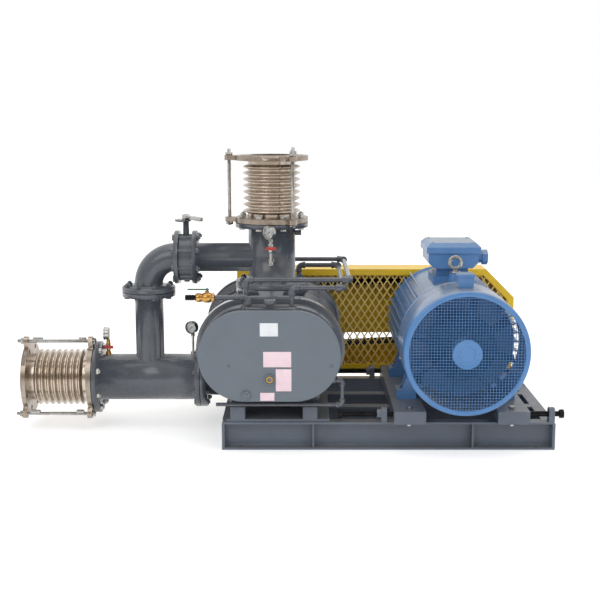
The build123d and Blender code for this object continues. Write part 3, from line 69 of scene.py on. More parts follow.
upright, downward = (0, 0, 1), (0, 0, -1)
leftward, rightward = (-1, 0, 0), (1, 0, 0)
forward, backward = (0, -1, 0), (0, 1, 0)


# Camera, light and floor

cameraSetup = {"place": (-0.393, -5.052, 1.491), "tilt": 80.02, "lens": 64.93, "farthest": 60.0}
cameraData = bpy.data.cameras.new("productCamera")
cameraData.lens = cameraSetup["lens"]
cameraData.clip_end = cameraSetup["farthest"]
productCamera = bpy.data.objects.new("productCamera", cameraData)
bpy.context.scene.collection.objects.link(productCamera)
productCamera.location = cameraSetup["place"]
productCamera.rotation_euler = (radians(cameraSetup["tilt"]), 0, 0)
bpy.context.scene.camera = productCamera


def linearColour(hexText):
    channels = [int(hexText[i:i + 2], 16) / 255 for i in (1, 3, 5)]
    return [c / 12.92 if c <= 0.04045 else ((c + 0.055) / 1.055) ** 2.4 for c in channels] + [1.0]


def addNode(tree, kind, settings=None, inputs=None):
    node = tree.nodes.new(kind)
    for name, value in (settings or {}).items():
        setattr(node, name, value)
    for key, value in (inputs or {}).items():
        if isinstance(value, bpy.types.NodeSocket):
            tree.links.new(value, node.inputs[key])
        else:
            node.inputs[key].default_value = value
    return node


def blended(tree, amount, first, second):
    node = addNode(tree, "ShaderNodeMix", {"data_type": "RGBA"}, {"Factor": amount})
    for socket, value in ((node.inputs[6], first), (node.inputs[7], second)):
        if isinstance(value, bpy.types.NodeSocket):
            tree.links.new(value, socket)
        else:
            socket.default_value = value
    return node.outputs[2]


studio = {
    "softboxes": [
        ("keySoftbox", (-2.6, -3.6, 3.6), 2.6, 44.0),
        ("fillSoftbox", (3.4, -3.2, 2.4), 3.0, 20.0),
        ("topSoftbox", (-0.2, 0.3, 4.2), 4.0, 44.0),
    ],
    "aim": (-0.3, 0.0, 0.5),
    "skyStrength": 0.74,
    "shineShare": 0.8,
    "roomEdge": (0.25, -0.55),
    "roomColour": "#A3978A",
    "floorColour": "#F2F2F2",
    "floorLift": 0.45,
    "floorSize": 30.0,
    "floorDrop": 0.0005,
}


def lightStudio(look):
    for name, place, size, watts in look["softboxes"]:
        lamp = bpy.data.lights.new(name, "AREA")
        lamp.size = size
        lamp.energy = watts
        holder = bpy.data.objects.new(name, lamp)
        bpy.context.scene.collection.objects.link(holder)
        holder.location = place
        aim = Vector(look["aim"]) - Vector(place)
        holder.rotation_euler = aim.to_track_quat("-Z", "Y").to_euler()
    world = bpy.data.worlds.new("studioSky")
    bpy.context.scene.world = world
    world.use_nodes = True
    tree = world.node_tree
    tree.nodes.clear()
    rays = addNode(tree, "ShaderNodeLightPath")
    seen = addNode(tree, "ShaderNodeMath", {"operation": "ADD"}, {
        0: rays.outputs["Is Camera Ray"], 1: rays.outputs["Is Transmission Ray"]})
    shine = addNode(tree, "ShaderNodeMath", {"operation": "MULTIPLY"}, {
        0: rays.outputs["Is Glossy Ray"], 1: look["shineShare"]})
    total = addNode(tree, "ShaderNodeMath", {"operation": "MAXIMUM"}, {
        0: seen.outputs[0], 1: shine.outputs[0]})
    strength = addNode(tree, "ShaderNodeMapRange", {}, {
        "Value": total.outputs[0], "To Min": look["skyStrength"], "To Max": 1.0})
    # In reflections only, the workshop in front of the machine is darker and warmer than the backdrop.
    heading = addNode(tree, "ShaderNodeSeparateXYZ", {}, {
        0: addNode(tree, "ShaderNodeTexCoord").outputs["Generated"]}).outputs[1]
    roomSide = addNode(tree, "ShaderNodeMapRange", {}, {
        "Value": heading, "From Min": look["roomEdge"][0], "From Max": look["roomEdge"][1]})
    inRoom = addNode(tree, "ShaderNodeMath", {"operation": "MULTIPLY"}, {
        0: roomSide.outputs[0], 1: rays.outputs["Is Glossy Ray"]})
    tone = blended(tree, inRoom.outputs[0], linearColour("#FFFFFF"), linearColour(look["roomColour"]))
    sky = addNode(tree, "ShaderNodeBackground", {}, {"Color": tone, "Strength": strength.outputs[0]})
    addNode(tree, "ShaderNodeOutputWorld", {}, {"Surface": sky.outputs[0]})
    bpy.context.scene.view_settings.view_transform = "Standard"


def layFloor(look):
    bpy.ops.mesh.primitive_plane_add(size=look["floorSize"], location=(0, 0, -look["floorDrop"]))
    floor = bpy.context.object
    floor.name = "studioFloor"
    material = bpy.data.materials.new("mattPaintedFloor")
    material.use_nodes = True
    tree = material.node_tree
    tree.nodes.clear()
    rays = addNode(tree, "ShaderNodeLightPath")
    seen = addNode(tree, "ShaderNodeMath", {"operation": "MAXIMUM"}, {
        0: rays.outputs["Is Camera Ray"], 1: rays.outputs["Is Glossy Ray"]})
    paint = addNode(tree, "ShaderNodeBsdfDiffuse", {}, {"Color": linearColour(look["floorColour"])})
    white = addNode(tree, "ShaderNodeEmission", {}, {
        "Color": linearColour("#FFFFFF"), "Strength": look["floorLift"]})
    clear = addNode(tree, "ShaderNodeAddShader", {}, {0: paint.outputs[0], 1: white.outputs[0]})
    mixed = addNode(tree, "ShaderNodeMixShader", {}, {
        0: seen.outputs[0], 1: paint.outputs[0], 2: clear.outputs[0]})
    addNode(tree, "ShaderNodeOutputMaterial", {}, {"Surface": mixed.outputs[0]})
    floor.data.materials.append(material)


lightStudio(studio)
layFloor(studio)
print("camera, light and floor are set")

# Materials


def startMaterial(name, constants):
    material = bpy.data.materials.new(name)
    material.use_nodes = True
    tree = material.node_tree
    tree.nodes.clear()
    shader = addNode(tree, "ShaderNodeBsdfPrincipled", {}, constants)
    addNode(tree, "ShaderNodeOutputMaterial", {}, {"Surface": shader.outputs[0]})
    place = addNode(tree, "ShaderNodeTexCoord").outputs["Object"]
    return material, tree, shader, place


def noiseAt(tree, place, size, detail=3.0, roughness=0.5):
    # size is the width of one patch in millimetres
    texture = addNode(tree, "ShaderNodeTexNoise", {}, {
        "Vector": place, "Scale": 1000.0 / size, "Detail": detail, "Roughness": roughness})
    return texture.outputs["Fac"]


def span(tree, value, low, high, toLow=0.0, toHigh=1.0):
    return addNode(tree, "ShaderNodeMapRange", {}, {
        "Value": value, "From Min": low, "From Max": high, "To Min": toLow, "To Max": toHigh}).outputs[0]


def reliefOf(tree, height, distance, under=None):
    inputs = {"Height": height, "Distance": mm(distance)}
    if under is not None:
        inputs["Normal"] = under
    return addNode(tree, "ShaderNodeBump", {}, inputs).outputs["Normal"]


def enamelOverMetal(name, look):
    # Sprayed enamel: soft gloss that wanders, the grain of what lies under it, a tone laid on what faces up.
    material, tree, shader, place = startMaterial(name, {
        "IOR": 1.5, "Coat Weight": look.get("coat", 0.0), "Coat Roughness": 0.12})
    broad = noiseAt(tree, place, look.get("patch", 120), 4.0, 0.6)
    colour = blended(
        tree, span(tree, broad, 0.35, 0.68), linearColour(look["colour"]), linearColour(look["shade"]))
    facing = addNode(tree, "ShaderNodeSeparateXYZ", {}, {
        0: addNode(tree, "ShaderNodeNewGeometry").outputs["Normal"]}).outputs[2]
    # Up-facing faces get a mixed-in tone: dust on the base and pipes, a painted reflection of the light from
    # above on the blue motor paints.
    upFacingTone = span(tree, facing, 0.5, 1.0, 0.0, look.get("dust", 0.25))
    patchy = span(tree, noiseAt(tree, place, 22, 5.0, 0.65), 0.3, 0.7, 0.4, 1.0)
    dust = addNode(tree, "ShaderNodeMath", {"operation": "MULTIPLY"}, {0: upFacingTone, 1: patchy})
    colour = blended(tree, dust.outputs[0], colour, linearColour(look.get("dustAndReflectionColour", "#8F8A82")))
    tree.links.new(colour, shader.inputs["Base Color"])
    gloss = span(tree, noiseAt(tree, place, 35, 4.0, 0.6), 0.3, 0.7, look["gloss"][0], look["gloss"][1])
    tree.links.new(gloss, shader.inputs["Roughness"])
    peel = reliefOf(tree, noiseAt(tree, place, 5.0, 2.0), 0.10)
    relief = reliefOf(tree, noiseAt(tree, place, look["grain"][0], 3.0, 0.6), look["grain"][1], peel)
    tree.links.new(relief, shader.inputs["Normal"])
    return material


def bareMetal(name, look):
    # Bare or plated metal: mirror colour of the metal, fine tool lines and handling stains.
    material, tree, shader, place = startMaterial(name, {"Metallic": 1.0})
    lines = addNode(tree, "ShaderNodeMapping", {}, {
        "Vector": place, "Scale": look.get("stretch", (1, 1, 1))}).outputs[0]
    tooling = noiseAt(tree, lines, look.get("grain", 1.2), 3.0, 0.6)
    stain = span(tree, noiseAt(tree, place, look.get("patch", 30), 5.0, 0.65), 0.35, 0.7)
    colour = blended(tree, stain, linearColour(look["colour"]), linearColour(look["shade"]))
    tree.links.new(colour, shader.inputs["Base Color"])
    tree.links.new(
        span(tree, tooling, 0.3, 0.7, look["gloss"][0], look["gloss"][1]), shader.inputs["Roughness"])
    tree.links.new(reliefOf(tree, tooling, look.get("depth", 0.03)), shader.inputs["Normal"])
    return material


def mouldedPlastic(name, look):
    # Moulded rubber, vinyl or fibre: one body colour, a fine pebble and soft sheen.
    material, tree, shader, place = startMaterial(name, {"IOR": 1.5})
    patch = span(tree, noiseAt(tree, place, look.get("patch", 18), 4.0), 0.35, 0.7)
    tree.links.new(
        blended(tree, patch, linearColour(look["colour"]), linearColour(look["shade"])),
        shader.inputs["Base Color"])
    tree.links.new(
        span(tree, noiseAt(tree, place, 9, 3.0), 0.3, 0.7, look["gloss"][0], look["gloss"][1]),
        shader.inputs["Roughness"])
    tree.links.new(
        reliefOf(tree, noiseAt(tree, place, look.get("grain", 1.0), 3.0), look.get("depth", 0.05)),
        shader.inputs["Normal"])
    return material


def polishedGlass(name):
    # Polished instrument glass: clear, with a trace of handling haze in its gloss.
    material, tree, shader, place = startMaterial(name, {"Transmission Weight": 1.0, "IOR": 1.45})
    tree.links.new(
        blended(tree, noiseAt(tree, place, 20), linearColour("#FFFFFF"), linearColour("#F4F8F8")),
        shader.inputs["Base Color"])
    tree.links.new(span(tree, noiseAt(tree, place, 14, 4.0), 0.4, 0.8, 0.0, 0.04), shader.inputs["Roughness"])
    return material


finishes = {
    # rolled steel: flat, half-dull, dusty on top
    "base_paint": enamelOverMetal("sprayedEnamelOnRolledSteel", {
        "colour": "#68717E", "shade": "#626A76", "gloss": (0.30, 0.44), "grain": (2.0, 0.05), "dust": 0.45}),
    # sand casting: fine pimples under a wet-looking coat
    "pump_paint": enamelOverMetal("sprayedEnamelOnSandCastIron", {
        "colour": "#666B73", "shade": "#5C6168", "gloss": (0.16, 0.26), "grain": (1.8, 0.12), "dust": 0.12,
        "coat": 0.8}),
    # machined face: even and calm, hardly any highlights
    "cover_paint": enamelOverMetal("sprayedEnamelOnMachinedIron", {
        "colour": "#6F7882", "shade": "#6B747E", "gloss": (0.34, 0.42), "grain": (2.5, 0.04), "dust": 0.1}),
    "pipe_paint": enamelOverMetal("glossEnamelOnSteelPipe", {  # smooth tube: long clean highlights
        "colour": "#5A5F67", "shade": "#52575E", "gloss": (0.20, 0.30), "grain": (2.5, 0.03), "dust": 0.2,
        "coat": 0.3}),
    # thin drawn tube: sharp narrow highlights
    "small_pipe_paint": enamelOverMetal("glossEnamelOnDrawnPipe", {
        "colour": "#5C6068", "shade": "#50545B", "gloss": (0.20, 0.32), "grain": (1.5, 0.04), "dust": 0.15,
        "coat": 0.4}),
    "black_steel": bareMetal("oiledBlackOxideSteel", {  # oiled oxide: near black with a soft grey sheen
        "colour": "#2C2C2E", "shade": "#1C1C1E", "gloss": (0.32, 0.5)}),
    "zinc_steel": bareMetal("brightZincPlatedSteel", {  # plating: pale, bright, a little cloudy
        "colour": "#C9C8C5", "shade": "#A6A5A2", "gloss": (0.22, 0.38)}),
    # pressed sheet: warm mirror streaks along the folds
    "stainless": bareMetal("hydroformedStainlessSheet", {
        "colour": "#CFC4B8", "shade": "#BFB3A5", "gloss": (0.20, 0.27), "grain": 2.0, "patch": 90,
        "depth": 0.012, "stretch": (0.15, 0.15, 2.5)}),
    "flange_steel": bareMetal("turnedFlangeSteel", {  # lathe-turned plate: duller and browner than the folds
        "colour": "#B0A498", "shade": "#958A7E", "gloss": (0.24, 0.40)}),
    "rotor_iron": bareMetal("milledGreyIron", {  # milled iron: mid grey with soft glints
        "colour": "#8B8D8F", "shade": "#7A7C7E", "gloss": (0.28, 0.42)}),
    "gear_steel": bareMetal("groundGearSteel", {  # ground teeth: light grey, crisp glints
        "colour": "#A9ABAE", "shade": "#94969A", "gloss": (0.2, 0.34)}),
    "bearing_steel": bareMetal("groundBearingSteel", {  # ground rings: nearly a mirror
        "colour": "#BFC1C4", "shade": "#ABADB0", "gloss": (0.15, 0.26)}),
    "pulley_iron": bareMetal("turnedCastIronPulley", {  # turned casting: dark and dull
        "colour": "#5A5C5F", "shade": "#494B4E", "gloss": (0.35, 0.5)}),
    "belt_rubber": mouldedPlastic("wrappedNeopreneBelt", {  # cloth-wrapped rubber: black, dull and fuzzy
        "colour": "#1D1D1F", "shade": "#2A2A2C", "gloss": (0.6, 0.78), "grain": 1.2, "depth": 0.15}),
    # sprayed sheet: flat strong yellow, turning a little tan on faces that look up
    "guard_yellow": enamelOverMetal("sprayedSafetyYellowOnSheet", {
        "colour": "#FFD42E", "shade": "#F5C828", "gloss": (0.32, 0.46), "grain": (3.0, 0.04), "dust": 0.25,
        "dustAndReflectionColour": "#B9A87C"}),
    # cut and stretched sheet: painted paler than the sheet's yellow all over, a painted highlight for the
    # light the strands catch
    "mesh_yellow": enamelOverMetal("sprayedYellowOnExpandedMetal", {
        "colour": "#FFE084", "shade": "#F2CE70", "gloss": (0.35, 0.5), "grain": (1.2, 0.08), "dust": 0.1}),
    # die-cast fins: blue sides; grey tops, a painted reflection of the light from above
    "motor_blue": enamelOverMetal("sprayedBlueOnCastAluminium", {
        "colour": "#5B8BC2", "shade": "#5080B8", "gloss": (0.26, 0.40), "grain": (1.6, 0.10), "dust": 0.95,
        "dustAndReflectionColour": "#7E8583", "coat": 0.2}),
    "cowl_blue": enamelOverMetal("sprayedBlueOnPressedSheet", {  # pressed sheet: smooth blue; grey on top, a painted reflection of the light from above
        "colour": "#588BC4", "shade": "#5082BB", "gloss": (0.26, 0.36), "grain": (3.0, 0.03), "dust": 1.0,
        "dustAndReflectionColour": "#83847F", "coat": 0.2}),
    "fan_blue": mouldedPlastic("mouldedNylonFan", {  # moulded nylon: soft, darker blue
        "colour": "#3C6E9C", "shade": "#2F5D89", "gloss": (0.3, 0.42)}),
    "shaft_steel": bareMetal("groundShaftSteel", {  # ground bar: bright, fine glints
        "colour": "#B1B3B6", "shade": "#9C9EA2", "gloss": (0.18, 0.3)}),
    "stator_iron": bareMetal("stampedLaminationSteel", {  # stacked sheets: fine dark stripes
        "colour": "#6E7073", "shade": "#5E6063", "gloss": (0.35, 0.5), "stretch": (0.2, 4.0, 0.2)}),
    "gasket_fibre": mouldedPlastic("calenderedFibreSheet", {  # pressed fibre: dark and matt
        "colour": "#3E4245", "shade": "#34383B", "gloss": (0.7, 0.85)}),
    # forging: warm yellow with darker stains
    "valve_brass": bareMetal("forgedBrass", {"colour": "#D8AC66", "shade": "#BC8C4E", "gloss": (0.24, 0.40)}),
    "handle_green": mouldedPlastic("dippedGreenVinyl", {  # dipped vinyl: thick soft gloss
        "colour": "#3F6B50", "shade": "#345C44", "gloss": (0.3, 0.42)}),
    "handle_red": mouldedPlastic("dippedRedVinyl", {  # dipped vinyl: thick soft gloss
        "colour": "#C0443C", "shade": "#A83830", "gloss": (0.3, 0.42)}),
    "gauge_black": enamelOverMetal("bakedBlackEnamelCase", {  # baked enamel: deep black, clean gloss
        "colour": "#26272A", "shade": "#1D1E20", "gloss": (0.25, 0.38), "grain": (2.0, 0.02), "dust": 0.05}),
    "gauge_glass": polishedGlass("polishedInstrumentGlass"),  # polished: clear, faint haze
    "pointer_black": mouldedPlastic("stovedBlackPointer", {  # stoved paint: dull black
        "colour": "#151515", "shade": "#1E1E1E", "gloss": (0.4, 0.5)}),
}

for piece in frame["record"]["subparts"]:
    cad = cadNodes.get(piece["node"])
    if cad is not None:
        cad.data.materials.clear()
        cad.data.materials.append(finishes[piece["material_slot"]])
print("finishes are on", len(finishes), "slots")


# Ways of making

def makeActive(piece):
    bpy.ops.object.select_all(action="DESELECT")
    piece.select_set(True)
    bpy.context.view_layer.objects.active = piece


def finishPiece(piece, name, slot, body, angle=35):
    makeActive(piece)
    piece.name = name
    piece.data.name = name
    bpy.ops.object.transform_apply(location=True, rotation=True, scale=True)
    bpy.ops.object.shade_smooth_by_angle(angle=radians(angle))
    piece.data.materials.clear()
    piece.data.materials.append(finishes[slot])
    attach(piece, body)
    piece.select_set(False)
    return piece


mergeGap = 0.00002  # doubles closer than this are merged


def drawnRun(points):
    # A chain of edges through the points, left in edit mode.
    bpy.ops.mesh.primitive_plane_add(size=0.01)
    piece = bpy.context.object
    bpy.ops.object.mode_set(mode="EDIT")
    bpy.ops.mesh.select_all(action="SELECT")
    bpy.ops.mesh.merge(type="CENTER")
    bpy.ops.transform.translate(value=[mm(value) for value in points[0]])
    for last, point in zip(points, points[1:]):
        step = [mm(b - a) for a, b in zip(last, point)]
        bpy.ops.mesh.extrude_vertices_move(TRANSFORM_OT_translate={"value": step})
    return piece


def turnProfile(points, centre, direction, steps=64):
    # Draws half an outline point by point as (radius, height), then spins it round the height axis.
    piece = drawnRun([(across, 0, up) for across, up in points])
    bpy.ops.mesh.select_all(action="SELECT")
    bpy.ops.mesh.spin(steps=steps, angle=2 * pi, center=(0, 0, 0), axis=(0, 0, 1))
    bpy.ops.mesh.select_all(action="SELECT")
    bpy.ops.mesh.remove_doubles(threshold=mergeGap)
    bpy.ops.mesh.normals_make_consistent(inside=False)
    bpy.ops.object.mode_set(mode="OBJECT")
    piece.rotation_euler = Vector(direction).to_track_quat("Z", "Y").to_euler()
    piece.location = [mm(value) for value in centre]
    return piece


def joinAll(pieces):
    bpy.ops.object.select_all(action="DESELECT")
    for piece in pieces:
        piece.select_set(True)
    bpy.context.view_layer.objects.active = pieces[0]
    if len(pieces) > 1:
        bpy.ops.object.join()
    return bpy.context.object


def copyTo(piece, place, turn):
    twin = piece.copy()
    twin.data = piece.data.copy()
    bpy.context.scene.collection.objects.link(twin)
    twin.location = place
    twin.rotation_euler = turn
    return twin


roundPipe = {"bendSteps": 7, "quarterSteps": 4}


def bentPipe(points, radius, bend):
    # Lays a run of straight edges, rounds its corners and thickens it to a pipe.
    piece = drawnRun(points)
    bpy.ops.mesh.select_all(action="DESELECT")
    bpy.ops.object.mode_set(mode="OBJECT")
    counts = [0] * len(piece.data.vertices)
    for edge in piece.data.edges:
        for end in edge.vertices:
            counts[end] += 1
    for vertex in piece.data.vertices:
        vertex.select = counts[vertex.index] == 2
    bpy.ops.object.mode_set(mode="EDIT")
    bpy.ops.mesh.bevel(affect="VERTICES", offset=mm(bend), segments=roundPipe["bendSteps"])
    bpy.ops.object.mode_set(mode="OBJECT")
    bpy.ops.object.convert(target="CURVE")
    piece = bpy.context.object
    piece.data.bevel_depth = mm(radius)
    piece.data.bevel_resolution = roundPipe["quarterSteps"]
    piece.data.use_fill_caps = True
    bpy.ops.object.convert(target="MESH")
    return bpy.context.object


# Turned and cast solids with their facets smoothed

bodyGroups = frame["record"]["behaviour"]["bodies"]
bodyOf = {node: body for body, group in bodyGroups.items() for node in group}
slotOf = {piece["node"]: piece["material_slot"] for piece in frame["record"]["subparts"]}
facetAngle = 38  # edges sharper than this stay sharp
smoothed = [
    "pump_casing", "gear_case", "gear_case_cover", "gear_end_plate", "drive_end_plate", "bearing_covers",
    "riser_pipe", "discharge_pipe", "branch_elbow", "valve_body", "valve_lever", "inlet_free_flange",
    "discharge_free_flange", "bellows_fixed_flanges", "bellows_tie_rods", "motor_end_shields",
    "motor_fan", "lifting_eye", "pump_pulley", "motor_pulley",
]


def smoothedSolid(node):
    # A copy of the solid's own mesh, merged, with its round faces shaded round.
    twin = cadNodes[node].copy()
    twin.data = cadNodes[node].data.copy()
    bpy.context.scene.collection.objects.link(twin)
    twin.parent = None
    twin.matrix_world = cadNodes[node].matrix_world.copy()
    makeActive(twin)
    bpy.ops.object.mode_set(mode="EDIT")
    bpy.ops.mesh.select_all(action="SELECT")
    bpy.ops.mesh.remove_doubles(threshold=mergeGap)
    bpy.ops.object.mode_set(mode="OBJECT")
    words = node.split("_")
    slot = "zinc_steel" if node == "lifting_eye" else slotOf[node]  # the eye bolt is plated, not painted
    finishPiece(twin, "smooth" + "".join(word.capitalize() for word in words), slot, bodyOf[node], facetAngle)
    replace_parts(twin, node)


for node in smoothed:
    smoothedSolid(node)
print("solids are smoothed")


# Sizes taken from the frame

def cornersOf(node):
    # lowest and highest corner in millimetres
    return [corner * 1000 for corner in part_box(node)]


def middleOf(node):
    low, high = cornersOf(node)
    return (low + high) / 2


pumpX = middleOf("gear_case_cover").x
portY = middleOf("riser_pipe").y
inletLow, inletHigh = cornersOf("inlet_bellows")
outLow, outHigh = cornersOf("discharge_bellows")
motorLow, motorHigh = cornersOf("fan_cowl")
motorX = (motorLow.x + motorHigh.x) / 2
motorZ = middleOf("motor_pulley").z


# Bellows

bellowsShape = {
    "tip": 133.0, "root": 110.5, "folds": 8, "pitch": 29.0, "ridge": 0.34,
    "wall": 1.0, "give": 12.0, "steps": 12,
}


def bellowsOutline(look, length):
    # Round-topped folds between two straight cuffs.
    cuff = (length - look["folds"] * look["pitch"]) / 2
    points = [(look["root"], 0.0), (look["root"], cuff)]
    for step in range(1, look["folds"] * look["steps"] + 1):
        turn = step / look["steps"]
        offCrest = abs(turn % 1 - 0.5) / look["ridge"]
        lift = cos(pi / 2 * offCrest) ** 0.7 if offCrest < 1 else 0.0
        points.append((look["root"] + lift * (look["tip"] - look["root"]), cuff + turn * look["pitch"]))
    return points + [(look["root"], length)]


def foldedBellows(name, look, start, direction, length):
    piece = turnProfile(bellowsOutline(look, length), start, direction, steps=72)
    makeActive(piece)
    wall = piece.modifiers.new("sheet", "SOLIDIFY")
    wall.thickness = mm(look["wall"])
    wall.offset = -1
    bpy.ops.object.modifier_apply(modifier="sheet")
    finishPiece(piece, name, "stainless", "pump_set", 60)
    return piece


inletLength = inletHigh.z - inletLow.z
inletFolds = foldedBellows("inletFolds", bellowsShape, (pumpX, portY, inletLow.z), upright, inletLength)
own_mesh(inletFolds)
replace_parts(inletFolds, "inlet_bellows")
ductZ = (outLow.z + outHigh.z) / 2
outLength = outHigh.x - outLow.x
dischargeFolds = foldedBellows("dischargeFolds", bellowsShape, (outHigh.x, portY, ductZ), leftward, outLength)
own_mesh(dischargeFolds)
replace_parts(dischargeFolds, "discharge_bellows")
print("bellows are turned")


# Fan cowl and its grille

cowlShape = {
    "radius": 273.0, "wall": 3.0, "lip": 252.0,
    "wirePitch": 12.8, "wire": 1.3, "wireInset": 3.0, "boss": 64.0, "bossLap": 2.0,
}


def fanCowl(look):
    front = motorLow.y
    depth = motorHigh.y - motorLow.y
    r = look["radius"]
    w = look["wall"]
    lip = look["lip"]
    outline = [
        (lip - 3, 7), (lip - 3, 3), (lip, 0.8), (lip + 4, 0),  # rolled edge round the grille
        (r - 14, 0), (r - 8, 1.2), (r - 3, 5), (r - 0.8, 10), (r, 16),  # pressed shoulder
        (r, depth - 26), (r - 1, depth - 24), (r - 1, depth - 20), (r, depth - 18),  # groove by the seam
        (r, depth), (r - w, depth), (r - w, 16), (r - w - 3, 7), (lip - 3, 7),
    ]
    shell = turnProfile(outline, (motorX, front, motorZ), backward, steps=96)
    b = look["boss"]
    disc = [
        (0, 2.5), (29, 2.5), (31, 1.0), (34, 1.0), (36, 3.2),
        (b - 6, 3.2), (b - 3, 1.6), (b, 2.2), (b, 6.5), (0, 6.5),
    ]
    boss = turnProfile(disc, (motorX, front, motorZ), backward, steps=48)
    wires = []
    count = int(lip / look["wirePitch"])
    hidden = b - look["bossLap"]  # the wires end under the boss
    for layer in (0, 1):
        for i in range(-count, count + 1):
            offset = i * look["wirePitch"]
            reach = sqrt(lip ** 2 - offset ** 2) + 0.5
            pieces = [(-reach, reach)]
            if abs(offset) < hidden:
                gap = sqrt(hidden ** 2 - offset ** 2)
                pieces = [(-reach, -gap), (gap, reach)]
            for start, end in pieces:
                middle = (start + end) / 2
                y = front + look["wireInset"] + layer * 2 * look["wire"]
                level = (motorX + middle, y, motorZ + offset)
                standing = (motorX + offset, y, motorZ + middle)
                bpy.ops.mesh.primitive_cylinder_add(
                    vertices=8, radius=mm(look["wire"]), depth=mm(end - start),
                    location=[mm(v) for v in (level if layer == 0 else standing)],
                    rotation=(0, pi / 2, 0) if layer == 0 else (0, 0, 0))
                wires.append(bpy.context.object)
    cowl = joinAll([shell, boss] + wires)
    return finishPiece(cowl, "fanCowl", "cowl_blue", "motor_carriage", 30)


cowl = fanCowl(cowlShape)
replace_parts(cowl, "fan_cowl")
print("cowl is spun and wired")


# V-belts

beltShape = {
    "top": 22.0, "bottom": 13.0, "height": 14.0, "pitch": 25.5, "count": 4,
    "steps": 32, "seam": 0.0004,
}


def oneBelt(look, y, pumpMiddle, pumpRadius, motorMiddle, motorRadius):
    # The belt's section goes along the upper run, round one pulley, back, and round the other.
    across = motorMiddle.x - pumpMiddle.x
    rise = motorMiddle.z - pumpMiddle.z
    lean = atan2(rise, across)
    wrap = acos((pumpRadius - motorRadius) / hypot(across, rise))
    run = sqrt(across ** 2 + rise ** 2 - (pumpRadius - motorRadius) ** 2)
    bpy.ops.mesh.primitive_plane_add(size=1.0)
    belt = bpy.context.object
    start = lean + wrap
    out = Vector((cos(start), 0, sin(start)))
    outer = pumpMiddle + out * pumpRadius
    inner = pumpMiddle + out * (pumpRadius - look["height"])
    section = [
        (outer, -look["top"] / 2), (outer, look["top"] / 2),
        (inner, -look["bottom"] / 2), (inner, look["bottom"] / 2),
    ]
    for vertex, (point, side) in zip(belt.data.vertices, section):
        vertex.co = (mm(point.x), mm(y + side), mm(point.z))
    bpy.ops.object.mode_set(mode="EDIT")
    bpy.ops.mesh.select_all(action="SELECT")
    for angle, turn, centre in ((start, 2 * wrap, motorMiddle), (lean - wrap, 2 * (pi - wrap), pumpMiddle)):
        along = Vector((cos(angle - pi / 2), 0, sin(angle - pi / 2))) * run
        bpy.ops.mesh.extrude_region_move(TRANSFORM_OT_translate={"value": [mm(value) for value in along]})
        bpy.ops.mesh.spin(
            steps=look["steps"], angle=turn, center=(mm(centre.x), 0, mm(centre.z)), axis=backward)
    bpy.ops.mesh.delete(type="ONLY_FACE")
    bpy.ops.mesh.select_all(action="SELECT")
    bpy.ops.mesh.remove_doubles(threshold=look["seam"])
    bpy.ops.mesh.normals_make_consistent(inside=False)
    bpy.ops.object.mode_set(mode="OBJECT")
    return belt


def beltSet(look):
    pumpLow, pumpHigh = cornersOf("pump_pulley")
    drivingLow, drivingHigh = cornersOf("motor_pulley")
    pumpMiddle = (pumpLow + pumpHigh) / 2
    motorMiddle = (drivingLow + drivingHigh) / 2
    pumpRadius = (pumpHigh.z - pumpLow.z) / 2
    motorRadius = (drivingHigh.z - drivingLow.z) / 2
    belts = []
    for i in range(look["count"]):
        y = pumpMiddle.y + (i - (look["count"] - 1) / 2) * look["pitch"]
        belts.append(oneBelt(look, y, pumpMiddle, pumpRadius, motorMiddle, motorRadius))
    loops = joinAll(belts)
    makeActive(loops)
    loops.name = "wrappedBelts"
    bpy.ops.object.shade_smooth_by_angle(angle=radians(30))
    loops.data.materials.clear()
    loops.data.materials.append(finishes["belt_rubber"])
    loops.select_set(False)
    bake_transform(loops)
    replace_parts(loops, "v_belts")


beltSet(beltShape)
print("belts are wrapped")


# Water pipes with their fittings

waterRuns = {
    "radius": 10.65,
    "bend": 24.0,
    "drainRadius": 8.5,
    "drainBend": 20.0,
    "feed": [(-766, -400, 683), (-620, -400, 683), (-620, -400, 641)],
    "low": [
        (-429, -400, 641), (-429, -400, 726), (-204, -400, 726),
        (-204, 305, 726), (-399, 305, 726), (-399, 305, 668),
    ],
    "high": [
        (-631, -369, 641), (-631, -369, 756), (-176, -369, 756),
        (-176, 305, 756), (-573, 305, 756), (-573, 305, 668),
    ],
    "drain": [(-762, -445, 214), (-208, -445, 214), (-208, -445, 326), (-238, -445, 326)],
}
supplyRuns = [waterRuns[name] for name in ("feed", "low", "high")]


def waterPipes(look):
    supply = [bentPipe(run, look["radius"], look["bend"]) for run in supplyRuns]
    drain = bentPipe(look["drain"], look["drainRadius"], look["drainBend"])
    return finishPiece(joinAll(supply + [drain]), "waterPipes", "small_pipe_paint", "pump_set", 40)


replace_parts(waterPipes(waterRuns), "cooling_pipes")
print("water pipes are bent")


# Flange bolts

boltShape = {
    "head": 10.0, "flats": 26.0, "shank": 8.0, "nut": 13.0, "past": 6.0, "edge": 0.8,
    "perFlange": 8, "firstAngle": 22.5,
}


def hexBolt(look, grip):
    # One bolt along Z: head below z = 0, nut above z = grip, thread end past it.
    parts = []
    for low, high in ((-look["head"], 0.0), (grip, grip + look["nut"])):
        bpy.ops.mesh.primitive_cylinder_add(
            vertices=6, radius=mm(look["flats"] / sqrt(3)), depth=mm(high - low),
            location=(0, 0, mm((low + high) / 2)))
        bpy.ops.object.mode_set(mode="EDIT")
        bpy.ops.mesh.select_all(action="SELECT")
        bpy.ops.mesh.bevel(offset=mm(look["edge"]), segments=1)
        bpy.ops.object.mode_set(mode="OBJECT")
        parts.append(bpy.context.object)
    length = grip + look["nut"] + look["past"]
    bpy.ops.mesh.primitive_cylinder_add(
        vertices=12, radius=mm(look["shank"]), depth=mm(length), location=(0, 0, mm(length / 2)))
    parts.append(bpy.context.object)
    bolt = joinAll(parts)
    makeActive(bolt)
    bpy.ops.object.transform_apply(location=True, rotation=True, scale=True)
    return bolt


